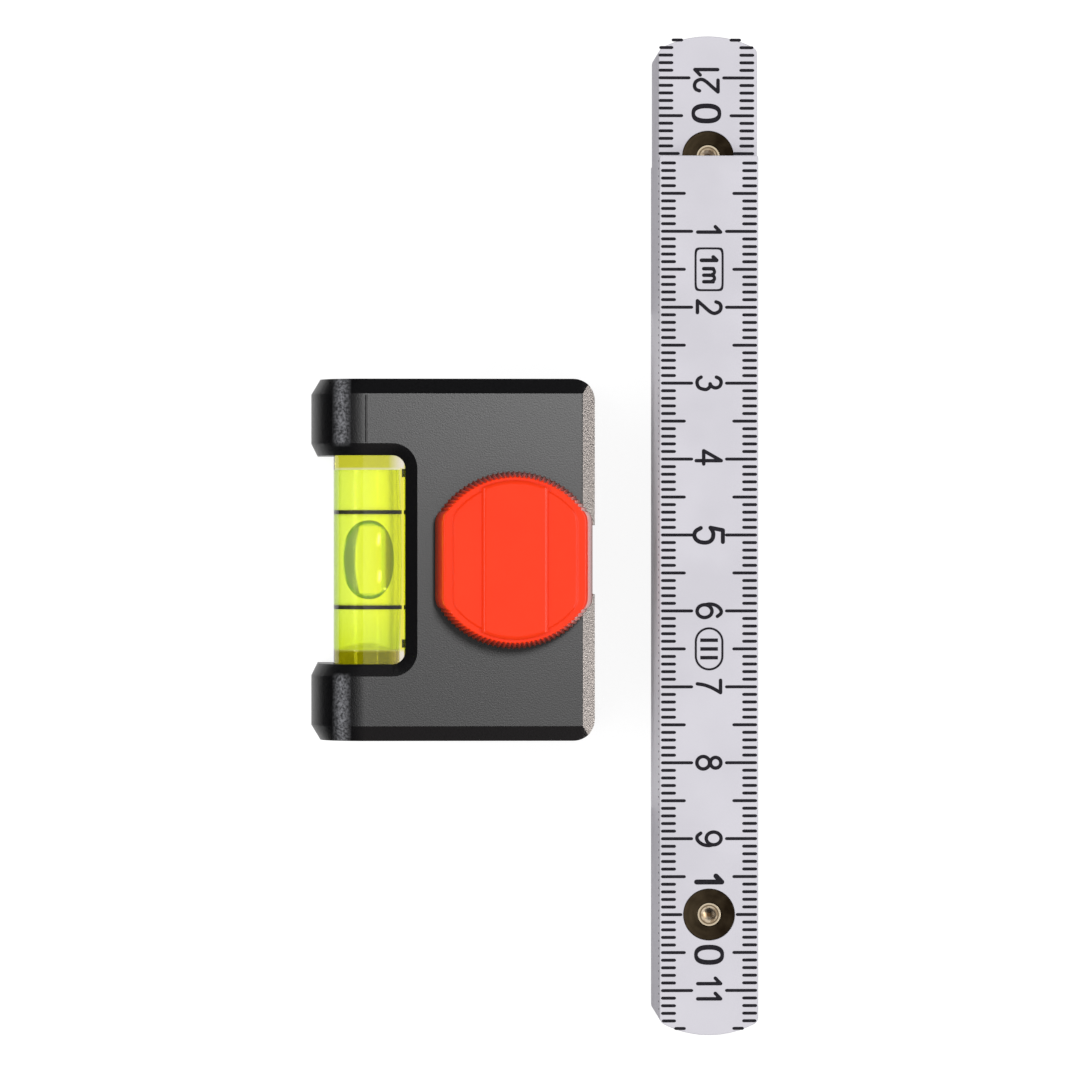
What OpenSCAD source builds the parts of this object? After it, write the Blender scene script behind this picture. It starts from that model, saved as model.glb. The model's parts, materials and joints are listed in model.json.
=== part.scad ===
// Folding rule of ten legs, lying folded beside its clip-on spirit level.
// Both lie on z = 0. The rule's joint axes and the level's clamp axis are vertical.

/* [Rule legs] */
// Number of legs in the rule
leg_count = 10; // [4:1:10]
// Distance between the two joint axes of a leg
joint_spacing = 100; // [80:5:120]
// Length of a rounded leg end past its joint axis
overhang = 15.9; // [12:0.1:18]
// Width of a leg
leg_w = 13; // [11:0.5:16]
// Thickness of a leg
leg_t = 2.1; // [1.8:0.1:3]
// Free height between two legs
leg_gap = 0.1; // [0.1:0.02:0.2]
// Radius of the arc that closes a rounded leg end
end_radius = 13; // [10:0.5:20]
// Radius where that arc meets the leg's long edge
end_corner_radius = 1; // [0.5:0.1:2]

/* [Rule joints] */
// Diameter of the washers let into both faces of a joint
washer_d = 6.8; // [5:0.1:8]
// Thickness of a washer
washer_t = 0.5; // [0.4:0.05:0.7]
// Outer diameter of the hollow rivet's shank
rivet_d = 2; // [1.6:0.1:2.4]
// Diameter of the hole through the rivet
rivet_hole_d = 1.2; // [0.8:0.1:1.3]
// Diameter of the rivet's rolled flanges
flange_d = 3.1; // [2.8:0.1:3.6]
// Thickness of the rivet's rolled flanges
flange_t = 0.2; // [0.15:0.01:0.25]
// Diameter of the detent spring disc between two legs
detent_d = 8; // [7:0.2:9]
// Thickness of the detent spring disc
detent_t = 0.4; // [0.2:0.05:0.5]
// Diameter of one detent bump
bump_d = 1; // [0.6:0.1:1.2]
// Height of one detent bump, within the free height between two legs
bump_h = 0.06; // [0.03:0.01:0.08]
// Distance of the bumps from the joint axis
bump_reach = 2.8; // [2.4:0.1:2.9]
// Number of detent bumps, one for each right angle
bump_count = 4; // [4:4:8]

/* [Level body] */
// Free distance between the level and the rule
side_gap = 8.2; // [4:0.2:20]
// How far the level lies back from the rule's middle
level_back = 3.3; // [0:0.1:10]
// Length of the level along its vial
level_l = 48.2; // [44:0.2:60]
// Width of the level
level_w = 37.8; // [36:0.2:44]
// Height of the level
level_h = 15; // [14:0.2:18]
// Width of the bevel round both ends
end_bevel = 2; // [1:0.1:2.5]
// Drop of that bevel
end_bevel_drop = 1.2; // [0.6:0.1:1.8]
// Bevel along the top edge on the channel side
side_bevel = 1.65; // [1:0.05:2]
// Rounding of the top edge on the vial side
nose_radius = 7.2; // [5:0.1:7.4]
// Small bevel round the bottom
foot_bevel = 0.6; // [0.3:0.1:1]
// Radius of the two plan corners on the channel side
plan_radius = 2.9; // [1.5:0.1:4]

/* [Rule channel] */
// Depth of the channel for a leg, from the open side
channel_depth = 17.4; // [17:0.1:19]
// Height of the channel
channel_h = 4.3; // [4:0.1:4.6]
// Thickness of the jaw under the channel
lower_jaw = 3.2; // [2.6:0.1:3.6]
// Length of the notch in the open side of both jaws
notch_l = 9.2; // [6:0.2:14]
// Depth of that notch
notch_depth = 2.4; // [1.5:0.1:2.4]
// Radius of the notch's corners
notch_radius = 1; // [0.4:0.1:1.2]

/* [Vial window] */
// Length of the window between the ears
window_l = 27.8; // [26:0.2:30]
// Depth of the window from the vial side
window_depth = 12.55; // [12:0.05:14]
// Radius of the window's inner corners
window_radius = 1.75; // [1:0.05:2.5]
// Width of the bevel round the top edge of the window
window_bevel = 1.6; // [0.8:0.1:1.9]
// Drop of that bevel
window_bevel_drop = 0.8; // [0.4:0.1:1]

/* [Vial] */
// Width of the clear vial block
vial_w = 9.55; // [9.4:0.05:10]
// Height of the clear vial block
vial_h = 9.6; // [9.4:0.1:10.6]
// Depth of the vial's top under the body's top face
vial_drop = 1.7; // [1.7:0.1:2.2]
// How far each end of the block sits in an ear
vial_seat = 1.6; // [1:0.1:2]
// Rounding of the block's outer top edge
vial_edge_radius = 2.6; // [1:0.1:3]
// Length of the liquid chamber
chamber_l = 24; // [22:0.5:25]
// Largest diameter of the barrel-shaped chamber
chamber_d = 8.7; // [8:0.1:8.8]
// Radius of the chamber's barrel curve
barrel_radius = 250; // [150:10:400]
// Height of the dome on the inner end of the plug
plug_dome = 0.9; // [0.4:0.1:1.2]
// Distance between the middles of the two index rings
index_gap = 12.7; // [12.2:0.1:14]
// Width of an index ring
index_w = 0.4; // [0.3:0.05:0.6]
// Depth of the groove that an index ring fills
index_t = 0.1; // [0.05:0.01:0.15]
// Width of the bubble
bubble_w = 6.6; // [5:0.1:6.8]
// Length of the bubble
bubble_l = 10.5; // [8:0.1:11]
// How far the bubble runs each way
bubble_run = 3; // [2:0.5:4]

/* [Clamp] */
// Diameter of the clamp screw
screw_d = 6; // [5:0.5:7]
// Outer diameter of the threaded insert
insert_d = 8; // [8:0.1:9]
// Wall left between the pad's pocket and the threaded insert
insert_ledge = 0.9; // [0.5:0.1:1.5]
// Diameter of the pressure pad
pad_d = 9; // [8.5:0.1:11]
// Thickness of the pressure pad
pad_t = 1.2; // [1.1:0.05:1.3]
// Diameter of the screw's journal in the pad
journal_d = 3; // [2.4:0.1:3.4]
// Outer diameter of the retaining ring on the journal
ring_d = 4.8; // [4.2:0.1:5.2]
// Thickness of the retaining ring
ring_t = 0.3; // [0.2:0.05:0.35]
// Width of the retaining ring's mouth
ring_mouth = 1.6; // [1:0.1:2]
// Diameter of the knob at its foot
knob_d = 23.6; // [20:0.2:24]
// Distance between the knob's two flats at its foot
knob_flats = 20.8; // [18:0.2:21]
// Height of the knob without its raised band
knob_h = 6; // [5:0.2:8]
// Inward slope of the knob's wall over its height
knob_slope = 0.9; // [0.3:0.1:1.2]
// Width of the raised band across the knob
band_w = 8.5; // [6:0.1:10]
// Height of the raised band
band_h = 0.4; // [0.2:0.05:0.6]
// Height of the knob over the body when the clamp is shut
knob_clearance = 0.3; // [0.2:0.1:1]
// Depth of the screw's hole in the knob
knob_socket = 4.4; // [3:0.1:4.6]

/* [Fits] */
// Radial clearance of a turning pin
running_fit = 0.05; // [0.02:0.01:0.08]
// Free height beside a turning flange or shoulder
axial_fit = 0.02; // [0.01:0.01:0.03]
// Clearance round a piece that is let into another
seat_fit = 0.02; // [0.01:0.01:0.05]
// Clearance round the pressure pad in its pocket
pad_fit = 0.2; // [0.1:0.05:0.3]
// Clearance between the bubble and the chamber wall
bubble_fit = 0.06; // [0.04:0.01:0.1]

/* [Hidden] */
$fn = 96;
cut = 1;
barrel_steps = 12;

total_w = level_w + side_gap + leg_w;
rule_x = (total_w - leg_w) / 2;
level_x = (level_w - total_w) / 2;
leg_pitch = leg_t + leg_gap;
joint_y = joint_spacing / 2;

arc_y = joint_y + overhang - end_radius;
corner_x = leg_w / 2 - end_corner_radius;
corner_y = sqrt(pow(end_radius - end_corner_radius, 2) - pow(corner_x, 2));
tangent_x = corner_x * end_radius / (end_radius - end_corner_radius);

flange_recess = flange_t + 2 * axial_fit;
washer_pocket_d = washer_d + 2 * seat_fit;
turning_hole_d = rivet_d + 2 * running_fit;

left_x = -level_w / 2;
right_x = level_w / 2;
channel_top = lower_jaw + channel_h;
channel_x = right_x - channel_depth;
clamp_x = channel_x + leg_w / 2;
window_x = left_x + window_depth;

vial_x = window_x - seat_fit - vial_w / 2;
vial_top = level_h - vial_drop;
vial_z = vial_top - vial_h / 2;
vial_l = window_l + 2 * vial_seat;
barrel_drop = barrel_radius - chamber_d / 2;
chamber_end_r = barrel_r(chamber_l / 2);
index_r = barrel_r(index_gap / 2);
bubble_floor = sqrt(pow(chamber_d / 2, 2) - pow(bubble_w / 2, 2));
bubble_room = 0.15;
liquid_top = bubble_floor - bubble_room;
air_l = bubble_l + 2 * bubble_run + 4 * bubble_room;

clamp_travel = channel_h - leg_t;
pad_recess = pad_t + pad_fit;
pad_top = channel_top + pad_recess - axial_fit;
pad_bottom = pad_top - pad_t;
ring_pocket = ring_t + 2 * axial_fit + seat_fit;
ring_pocket_d = ring_d + 2 * pad_fit;
insert_z = channel_top + pad_recess + insert_ledge;
insert_l = level_h - insert_z;
knob_z = level_h + clamp_travel + knob_clearance;
knob_top_d = knob_d - 2 * knob_slope;

leg_colour = "#D9D7DD";
washer_colour = "#4A3C26";
rivet_colour = "#D8C8B0";
steel_colour = "#A8AAAD";
brass_colour = "#B99A55";
body_colour = "#3A393A";
knob_colour = "#FF4327";
vial_colour = [0.93, 0.96, 0.88, 0.35];
liquid_colour = [0.90, 0.95, 0.24, 0.8];
bubble_colour = [0.95, 0.98, 0.6, 0.6];
index_colour = "#1E1E00";

function numbered(name, count) = [for (i = [1:count]) str(name, "_", i)];
function joint_side(i) = i % 2 == 1 ? -1 : 1;
function square_side(i) = i == 1 || i == leg_count ? joint_side(i == 1 ? 0 : i) : 0;
function barrel_r(y) = sqrt(pow(barrel_radius, 2) - pow(y, 2)) - barrel_drop;
function leg_z(i) = (leg_count - i) * leg_pitch;

// A leg's half with its rounded end towards +Y.
module round_half() {
    translate([-leg_w / 2, 0]) square([leg_w, arc_y + corner_y]);
    translate([0, arc_y]) {
        intersection() {
            circle(r = end_radius, $fn = 360);
            translate([-tangent_x, 0]) square([2 * tangent_x, end_radius]);
        }
        for (side = [-1, 1])
            translate([side * corner_x, corner_y]) circle(r = end_corner_radius);
    }
}

module square_half() {
    translate([-leg_w / 2, 0]) square([leg_w, joint_y]);
}

module leg_outline(square_end) {
    for (side = [-1, 1])
        rotate(side > 0 ? 0 : 180)
            if (side == square_end) square_half();
            else round_half();
}

module on_joint(i, z) {
    translate([rule_x, joint_side(i) * joint_y, z]) children();
}

module on_bump_circle() {
    for (k = [0:bump_count - 1])
        rotate(45 + k * 360 / bump_count) translate([bump_reach, 0]) children();
}

// The leg above a joint holds the front washer, the rivet and the detent spring.
module upper_joint_cut() {
    translate([0, 0, -cut]) cylinder(d = rivet_d, h = leg_t + 2 * cut);
    translate([0, 0, leg_t - washer_t]) cylinder(d = washer_pocket_d, h = washer_t + cut);
    translate([0, 0, -cut]) cylinder(d = detent_d + 2 * seat_fit, h = detent_t + cut);
}

// The leg below a joint turns on the rivet and carries the back washer.
module lower_joint_cut() {
    translate([0, 0, -cut]) cylinder(d = turning_hole_d, h = leg_t + 2 * cut);
    translate([0, 0, -cut]) cylinder(d = washer_pocket_d, h = washer_t + cut);
    translate([0, 0, leg_t - 2 * bump_h])
        on_bump_circle() cylinder(d = bump_d + 4 * running_fit, h = cut, $fn = 32);
}

module leg(i) {
    color(leg_colour) difference() {
        translate([rule_x, 0, leg_z(i)]) linear_extrude(leg_t) leg_outline(square_side(i));
        if (i < leg_count) on_joint(i, leg_z(i)) upper_joint_cut();
        if (i > 1) on_joint(i - 1, leg_z(i)) lower_joint_cut();
    }
}

module front_washer(i) {
    color(washer_colour) on_joint(i, leg_z(i) + leg_t - washer_t) difference() {
        cylinder(d = washer_d, h = washer_t);
        translate([0, 0, -cut]) cylinder(d = rivet_d, h = washer_t + 2 * cut);
        translate([0, 0, washer_t - flange_recess])
            cylinder(d = flange_d + 2 * seat_fit, h = flange_recess + cut);
    }
}

module back_washer(i) {
    color(washer_colour) on_joint(i, leg_z(i + 1)) difference() {
        cylinder(d = washer_d, h = washer_t);
        translate([0, 0, -cut]) cylinder(d = turning_hole_d, h = washer_t + 2 * cut);
        translate([0, 0, -cut]) cylinder(d = flange_d + 2 * running_fit, h = flange_recess + cut);
    }
}

module detent_spring(i) {
    color(steel_colour) on_joint(i, leg_z(i)) {
        difference() {
            cylinder(d = detent_d, h = detent_t);
            translate([0, 0, -cut]) cylinder(d = turning_hole_d, h = detent_t + 2 * cut);
        }
        translate([0, 0, -bump_h])
            on_bump_circle() cylinder(d = bump_d, h = bump_h + detent_t / 2, $fn = 32);
    }
}

module hollow_rivet(i) {
    foot_z = leg_z(i + 1) + axial_fit;
    head_z = leg_z(i) + leg_t - flange_recess;
    color(rivet_colour) difference() {
        union() {
            on_joint(i, foot_z) cylinder(d = rivet_d, h = head_z - foot_z + flange_t);
            on_joint(i, foot_z) cylinder(d = flange_d, h = flange_t);
            on_joint(i, head_z) cylinder(d = flange_d, h = flange_t);
        }
        on_joint(i, foot_z - cut)
            cylinder(d = rivet_hole_d, h = head_z - foot_z + flange_t + 2 * cut);
    }
}

module on_level(x = 0, z = 0) {
    translate([level_x + x, -level_back, z]) children();
}

// Seen from above: round corners on the channel side, cut corners on the vial side.
module plan_outline() {
    intersection() {
        union() {
            translate([left_x, -level_l / 2]) square([level_w - plan_radius, level_l]);
            translate([left_x, plan_radius - level_l / 2]) square([level_w, level_l - 2 * plan_radius]);
            for (side = [-1, 1])
                translate([right_x - plan_radius, side * (level_l / 2 - plan_radius)])
                    circle(r = plan_radius);
        }
        polygon([
            [left_x + end_bevel_drop, -level_l / 2], [right_x, -level_l / 2],
            [right_x, level_l / 2], [left_x + end_bevel_drop, level_l / 2],
            [left_x, level_l / 2 - end_bevel], [left_x, end_bevel - level_l / 2]
        ]);
    }
}

// Seen along the vial: a round nose on one side and the rule's channel in the other.
module side_outline() {
    nose_x = left_x + nose_radius;
    nose_z = level_h - nose_radius;
    difference() {
        union() {
            polygon([
                [nose_x, 0], [right_x - foot_bevel, 0], [right_x, foot_bevel],
                [right_x, level_h - side_bevel], [right_x - side_bevel, level_h], [nose_x, level_h]
            ]);
            translate([nose_x, nose_z]) circle(r = nose_radius, $fn = 180);
            polygon([
                [left_x + foot_bevel, 0], [nose_x, 0], [nose_x, nose_z],
                [left_x, nose_z], [left_x, foot_bevel]
            ]);
        }
        translate([channel_x, lower_jaw]) square([channel_depth + cut, channel_h]);
    }
}

// Seen across the vial: a bevel at each end.
module end_outline() {
    half = level_l / 2;
    polygon([
        [foot_bevel - half, 0], [half - foot_bevel, 0], [half, foot_bevel],
        [half, level_h - end_bevel_drop], [half - end_bevel, level_h],
        [end_bevel - half, level_h], [-half, level_h - end_bevel_drop], [-half, foot_bevel]
    ]);
}

module window_outline() {
    inner_x = window_x - window_radius;
    inner_y = window_l / 2 - window_radius;
    translate([left_x - cut, -window_l / 2]) square([window_depth + cut - window_radius, window_l]);
    translate([inner_x - cut, -inner_y]) square([window_radius + cut, 2 * inner_y]);
    for (side = [-1, 1]) {
        translate([inner_x, side * inner_y]) circle(r = window_radius);
        polygon([
            [left_x - cut, side * window_l / 2], [left_x + window_bevel_drop, side * window_l / 2],
            [left_x, side * (window_l / 2 + window_bevel)],
            [left_x - cut, side * (window_l / 2 + window_bevel)]
        ]);
    }
}

// The sloping top edge of the window: three planes joined by two cones.
module window_flare() {
    inner_x = window_x - window_radius;
    inner_y = window_l / 2 - window_radius;
    reach = window_bevel + cut;
    rise = reach * window_bevel_drop / window_bevel;
    foot_z = level_h - window_bevel_drop;
    for (side = [-1, 1]) {
        translate([inner_x, side * inner_y, foot_z])
            cylinder(r1 = window_radius, r2 = window_radius + reach, h = rise);
        translate([left_x - cut, side * inner_y, foot_z])
            rotate([90, 0, 90]) linear_extrude(inner_x - left_x + cut)
                polygon([[0, 0], [side * window_radius, 0], [side * (window_radius + reach), rise], [0, rise]]);
    }
    translate([inner_x, inner_y, foot_z])
        rotate([90, 0, 0]) linear_extrude(2 * inner_y)
            polygon([[0, 0], [window_radius, 0], [window_radius + reach, rise], [0, rise]]);
}

// A bevel that follows the round nose, as a cone, from start towards one way along the vial.
module nose_bevel(start, way, width, drop) {
    nose_z = level_h - nose_radius;
    reach = width + cut;
    difference() {
        translate([left_x - cut, way > 0 ? start : start - reach, nose_z])
            cube([nose_radius + cut, reach, nose_radius + cut]);
        translate([left_x + nose_radius, start, nose_z]) rotate([-90 * way, 0, 0])
            cylinder(r1 = nose_radius, r2 = nose_radius - drop * reach / width, h = reach, $fn = 180);
    }
}

module vial_outline(fit) {
    half_w = vial_w / 2 + fit;
    edge_x = -vial_w / 2 + vial_edge_radius;
    edge_z = vial_h / 2 - vial_edge_radius;
    translate([edge_x, -vial_h / 2 - fit]) square([half_w - edge_x, vial_h + 2 * fit]);
    translate([-half_w, -vial_h / 2 - fit]) square([vial_w + 2 * fit, edge_z + vial_h / 2 + fit]);
    translate([edge_x, edge_z]) circle(r = vial_edge_radius + fit);
}

// The vial goes in from below, so its seat is open down to the body's foot.
module vial_seat_cut() {
    translate([vial_x, vial_l / 2 + seat_fit, vial_z])
        rotate([90, 0, 0]) linear_extrude(vial_l + 2 * seat_fit) {
            vial_outline(seat_fit);
            translate([-vial_w / 2 - seat_fit, vial_h / 2 - vial_top - cut])
                square([vial_w + 2 * seat_fit, vial_top - vial_h / 2 + cut]);
        }
}

module notch_outline() {
    round_x = right_x - notch_depth + notch_radius;
    round_y = notch_l / 2 - notch_radius;
    translate([round_x, -notch_l / 2]) square([notch_depth + cut, notch_l]);
    translate([right_x - notch_depth, -round_y]) square([notch_radius, 2 * round_y]);
    for (side = [-1, 1])
        translate([round_x, side * round_y]) circle(r = notch_radius);
}

module clamp_bore() {
    translate([clamp_x, 0, channel_top - cut]) cylinder(d = pad_d + 2 * pad_fit, h = pad_recess + cut);
    translate([clamp_x, 0, channel_top]) cylinder(d = screw_d + 2 * pad_fit, h = level_h);
    translate([clamp_x, 0, insert_z]) cylinder(d = insert_d, h = insert_l + cut);
}

module level_body() {
    color(body_colour) on_level() difference() {
        intersection() {
            linear_extrude(level_h) plan_outline();
            rotate([90, 0, 0]) linear_extrude(level_l, center = true) side_outline();
            rotate([90, 0, 90]) linear_extrude(level_w, center = true) end_outline();
        }
        translate([0, 0, -cut]) linear_extrude(level_h + 2 * cut) window_outline();
        window_flare();
        for (side = [-1, 1]) {
            nose_bevel(side * (level_l / 2 - end_bevel), side, end_bevel, end_bevel_drop);
            nose_bevel(side * (window_l / 2 + window_bevel), -side, window_bevel, window_bevel_drop);
        }
        vial_seat_cut();
        translate([0, 0, -cut]) linear_extrude(level_h + 2 * cut) notch_outline();
        clamp_bore();
    }
}

// Turns a shape made along Z, such as a barrel, to lie along the vial.
module on_vial_axis() {
    on_level(vial_x, vial_z) rotate([-90, 0, 0]) children();
}

// A barrel: a shallow arc, in short straight steps, turned about the vial's axis.
module barrel(length, shrink) {
    step = length / barrel_steps;
    rotate_extrude() polygon(concat(
        [[0, length / 2], [0, -length / 2]],
        [for (k = [0:barrel_steps]) [barrel_r(k * step - length / 2) - shrink, k * step - length / 2]]
    ));
}

module vial_block() {
    color(vial_colour) difference() {
        on_level(vial_x, vial_z) rotate([90, 0, 0])
            linear_extrude(vial_l, center = true) vial_outline(0);
        on_vial_axis() {
            barrel(chamber_l, 0);
            translate([0, 0, -vial_l / 2 - cut]) cylinder(r = chamber_end_r, h = vial_l / 2 + cut - chamber_l / 4);
            for (side = [-1, 1])
                translate([0, 0, side * index_gap / 2 - index_w / 2])
                    cylinder(r = index_r + index_t, h = index_w);
        }
    }
}

// The plug closes the chamber's filling end, with a dome towards the liquid.
module vial_plug() {
    dome_r = (pow(chamber_end_r, 2) + pow(plug_dome, 2)) / (2 * plug_dome);
    plug_l = (vial_l - chamber_l) / 2 + plug_dome;
    color(vial_colour) on_vial_axis() translate([0, 0, -vial_l / 2]) intersection() {
        cylinder(r = chamber_end_r - axial_fit, h = plug_l);
        translate([0, 0, plug_l - dome_r]) sphere(r = dome_r, $fn = 180);
    }
}

module vial_liquid() {
    color(liquid_colour) difference() {
        on_vial_axis() translate([0, 0, plug_dome / 2]) barrel(chamber_l - plug_dome - 2 * seat_fit, seat_fit);
        on_level(vial_x, vial_z + liquid_top)
            translate([-chamber_d / 2, -air_l / 2, 0]) cube([chamber_d, air_l, chamber_d]);
    }
}

module vial_bubble() {
    straight_l = bubble_l - bubble_w;
    color(bubble_colour) intersection() {
        on_vial_axis() barrel(bubble_l, bubble_fit);
        on_level(vial_x, vial_z + bubble_floor) linear_extrude(chamber_d) {
            translate([-bubble_w / 2, -straight_l / 2]) square([bubble_w, straight_l]);
            for (side = [-1, 1])
                translate([0, side * straight_l / 2]) circle(d = bubble_w);
        }
    }
}

module vial_rings() {
    color(index_colour) on_vial_axis()
        for (side = [-1, 1])
            translate([0, 0, side * index_gap / 2]) difference() {
                translate([0, 0, -index_w / 2]) cylinder(r = index_r + index_t, h = index_w);
                translate([0, 0, -index_w]) cylinder(r = index_r, h = 2 * index_w);
            }
}

module threaded_insert() {
    color(brass_colour) on_level(clamp_x, insert_z) difference() {
        cylinder(d = insert_d, h = insert_l);
        translate([0, 0, -cut]) cylinder(d = screw_d + 2 * running_fit, h = insert_l + 2 * cut);
    }
}

// The shank's foot pushes the pad, and a journal under it passes through the pad.
module clamp_screw() {
    shank_z = pad_top + axial_fit;
    journal_z = pad_bottom + axial_fit;
    color(steel_colour) {
        on_level(clamp_x, shank_z) cylinder(d = screw_d, h = knob_z + knob_socket - shank_z);
        on_level(clamp_x, journal_z) cylinder(d = journal_d, h = shank_z - journal_z);
    }
}

module knob_section() {
    half = knob_flats / 2;
    polygon([[-half, 0], [half, 0], [half - knob_slope, knob_h], [knob_slope - half, knob_h]]);
}

module clamp_knob() {
    color(knob_colour) on_level(clamp_x, knob_z) difference() {
        union() {
            intersection() {
                cylinder(d1 = knob_d, d2 = knob_top_d, h = knob_h);
                rotate([90, 0, 0]) linear_extrude(knob_d, center = true) knob_section();
            }
            intersection() {
                cylinder(d = knob_top_d, h = knob_h + band_h);
                translate([-band_w / 2, -knob_d / 2, knob_h / 2]) cube([band_w, knob_d, knob_h]);
            }
        }
        translate([0, 0, -cut]) cylinder(d = screw_d, h = knob_socket + cut);
    }
}

module pressure_pad() {
    color(steel_colour) on_level(clamp_x, pad_bottom) difference() {
        cylinder(d = pad_d, h = pad_t);
        translate([0, 0, -cut]) cylinder(d = journal_d + 2 * running_fit, h = pad_t + 2 * cut);
        translate([0, 0, -cut]) cylinder(d = ring_pocket_d, h = ring_pocket + cut);
    }
}

// A snap ring with an open mouth holds the pad on the journal.
module pad_retaining_ring() {
    color(steel_colour) on_level(clamp_x, pad_bottom + ring_pocket - axial_fit - ring_t) difference() {
        cylinder(d = ring_d, h = ring_t);
        translate([0, 0, -cut]) cylinder(d = journal_d, h = ring_t + 2 * cut);
        translate([0, -ring_mouth / 2, -cut]) cube([ring_d, ring_mouth, ring_t + 2 * cut]);
    }
}

for (i = [1:leg_count]) leg(i);
for (i = [1:leg_count - 1]) front_washer(i);
for (i = [1:leg_count - 1]) back_washer(i);
for (i = [1:leg_count - 1]) detent_spring(i);
for (i = [1:leg_count - 1]) hollow_rivet(i);
level_body();
vial_block();
vial_plug();
vial_liquid();
vial_bubble();
vial_rings();
threaded_insert();
clamp_screw();
clamp_knob();
pressure_pad();
pad_retaining_ring();
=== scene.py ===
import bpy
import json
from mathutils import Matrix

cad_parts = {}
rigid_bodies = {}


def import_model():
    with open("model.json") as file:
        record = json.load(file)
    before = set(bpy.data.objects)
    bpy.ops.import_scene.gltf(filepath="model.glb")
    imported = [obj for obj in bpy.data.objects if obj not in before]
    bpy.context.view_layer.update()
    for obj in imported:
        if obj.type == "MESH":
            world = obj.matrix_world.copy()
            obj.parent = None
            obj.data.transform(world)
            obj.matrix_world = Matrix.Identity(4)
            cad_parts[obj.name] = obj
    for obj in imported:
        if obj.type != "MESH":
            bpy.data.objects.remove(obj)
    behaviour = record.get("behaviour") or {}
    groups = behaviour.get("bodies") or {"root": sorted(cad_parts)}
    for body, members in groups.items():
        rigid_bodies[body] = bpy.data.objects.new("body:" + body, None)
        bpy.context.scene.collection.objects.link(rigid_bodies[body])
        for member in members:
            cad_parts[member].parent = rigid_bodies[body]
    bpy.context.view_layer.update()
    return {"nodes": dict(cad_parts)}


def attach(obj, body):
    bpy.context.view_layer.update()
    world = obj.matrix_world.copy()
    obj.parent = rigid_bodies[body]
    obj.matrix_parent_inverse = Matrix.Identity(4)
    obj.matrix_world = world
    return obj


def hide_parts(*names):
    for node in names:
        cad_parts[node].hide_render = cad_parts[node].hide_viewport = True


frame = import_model()

import json
import math
import bmesh
import bpy
import numpy as np
from mathutils import Matrix, Vector
from mathutils.geometry import tessellate_polygon

# Folding rule of ten legs with its clip-on level beside it. Shapes are worked out in
# millimetres and turned to metres when a piece is made.
print("frame loaded,", len(frame["nodes"]), "nodes")


def linear(hexColour):
    # sRGB curve undone: c / 12.92 for small values, else ((c + 0.055) / 1.055) to the power 2.4
    values = [int(hexColour[k:k + 2], 16) / 255 for k in (1, 3, 5)]
    return tuple(v / 12.92 if v <= 0.04045 else ((v + 0.055) / 1.055) ** 2.4 for v in values) + (1.0,)


def addNode(tree, kind, settings=None, links=None, feeds=None):
    # settings and links by property or input, feeds by output: {output: the socket it goes to}
    node = tree.nodes.new(kind)
    for key, value in (settings or {}).items():
        if isinstance(key, str) and hasattr(node, key):
            setattr(node, key, value)
        else:
            node.inputs[key].default_value = value
    for key, socket in (links or {}).items():
        tree.links.new(socket, node.inputs[key])
    for key, socket in (feeds or {}).items():
        tree.links.new(node.outputs[key], socket)
    return node


def newMaterial(name, **surface):
    # a Principled surface with its constants on its own sockets
    material = bpy.data.materials.new(name)
    material.use_nodes = True
    tree = material.node_tree
    shader = tree.nodes["Principled BSDF"]
    for key, value in surface.items():
        shader.inputs[key.replace("_", " ")].default_value = value
    return material, tree, shader


def addObject(name, data):
    thing = bpy.data.objects.new(name, data)
    bpy.context.scene.collection.objects.link(thing)
    return thing


# Surfaces

def strip(loop, outward, section):
    # point (k, j) = loop[j] + out[k] * outward[j] at height z[k], with the section's own normals
    out, height, normalOut, normalUp = np.array(section, float).T
    flat = loop[None] + out[:, None, None] * outward[None]
    points = np.concatenate([flat, np.broadcast_to(height[:, None, None], flat.shape[:2] + (1,))], 2)
    tilt = normalOut[:, None, None] * outward[None]
    normals = np.concatenate([tilt, np.broadcast_to(normalUp[:, None, None], tilt.shape[:2] + (1,))], 2)
    return points.reshape(-1, 3), normals.reshape(-1, 3), gridFaces(*flat.shape[:2], closed=True)


def gridFaces(rows, columns, closed=False):
    # quads between neighbouring rows; a closed grid joins its last column to its first
    k, j = np.meshgrid(np.arange(rows - 1), np.arange(columns if closed else columns - 1), indexing="ij")
    after = (j + 1) % columns
    quads = [k * columns + j, k * columns + after, (k + 1) * columns + after, (k + 1) * columns + j]
    return np.stack(quads, -1).reshape(-1, 4)


def facets(loop, outward, corners):
    # one flat strip for each straight stretch of the section; a stretch's normal is (dz, -dout)
    patches = []
    for (outA, zA), (outB, zB) in zip(corners[:-1], corners[1:]):
        length = math.hypot(outB - outA, zB - zA)
        normal = ((zB - zA) / length, (outA - outB) / length)
        patches.append(strip(loop, outward, [(outA, zA) + normal, (outB, zB) + normal]))
    return patches


def bend(centreOut, centreZ, radius, start, end, steps=6):
    # a quarter or less of a circle in the section, its normals pointing away from its centre
    turn = np.radians(np.linspace(start, end, steps + 1))
    return np.stack([centreOut + radius * np.cos(turn), centreZ + radius * np.sin(turn),
                     np.cos(turn), np.sin(turn)], 1)


def circleLoop(x, y, count):
    # all points at the centre: the section's own distance is the radius
    turn = np.linspace(0, 2 * np.pi, count, endpoint=False)
    outward = np.stack([np.cos(turn), np.sin(turn)], 1)
    return np.zeros((count, 2)) + (x, y), outward


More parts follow.
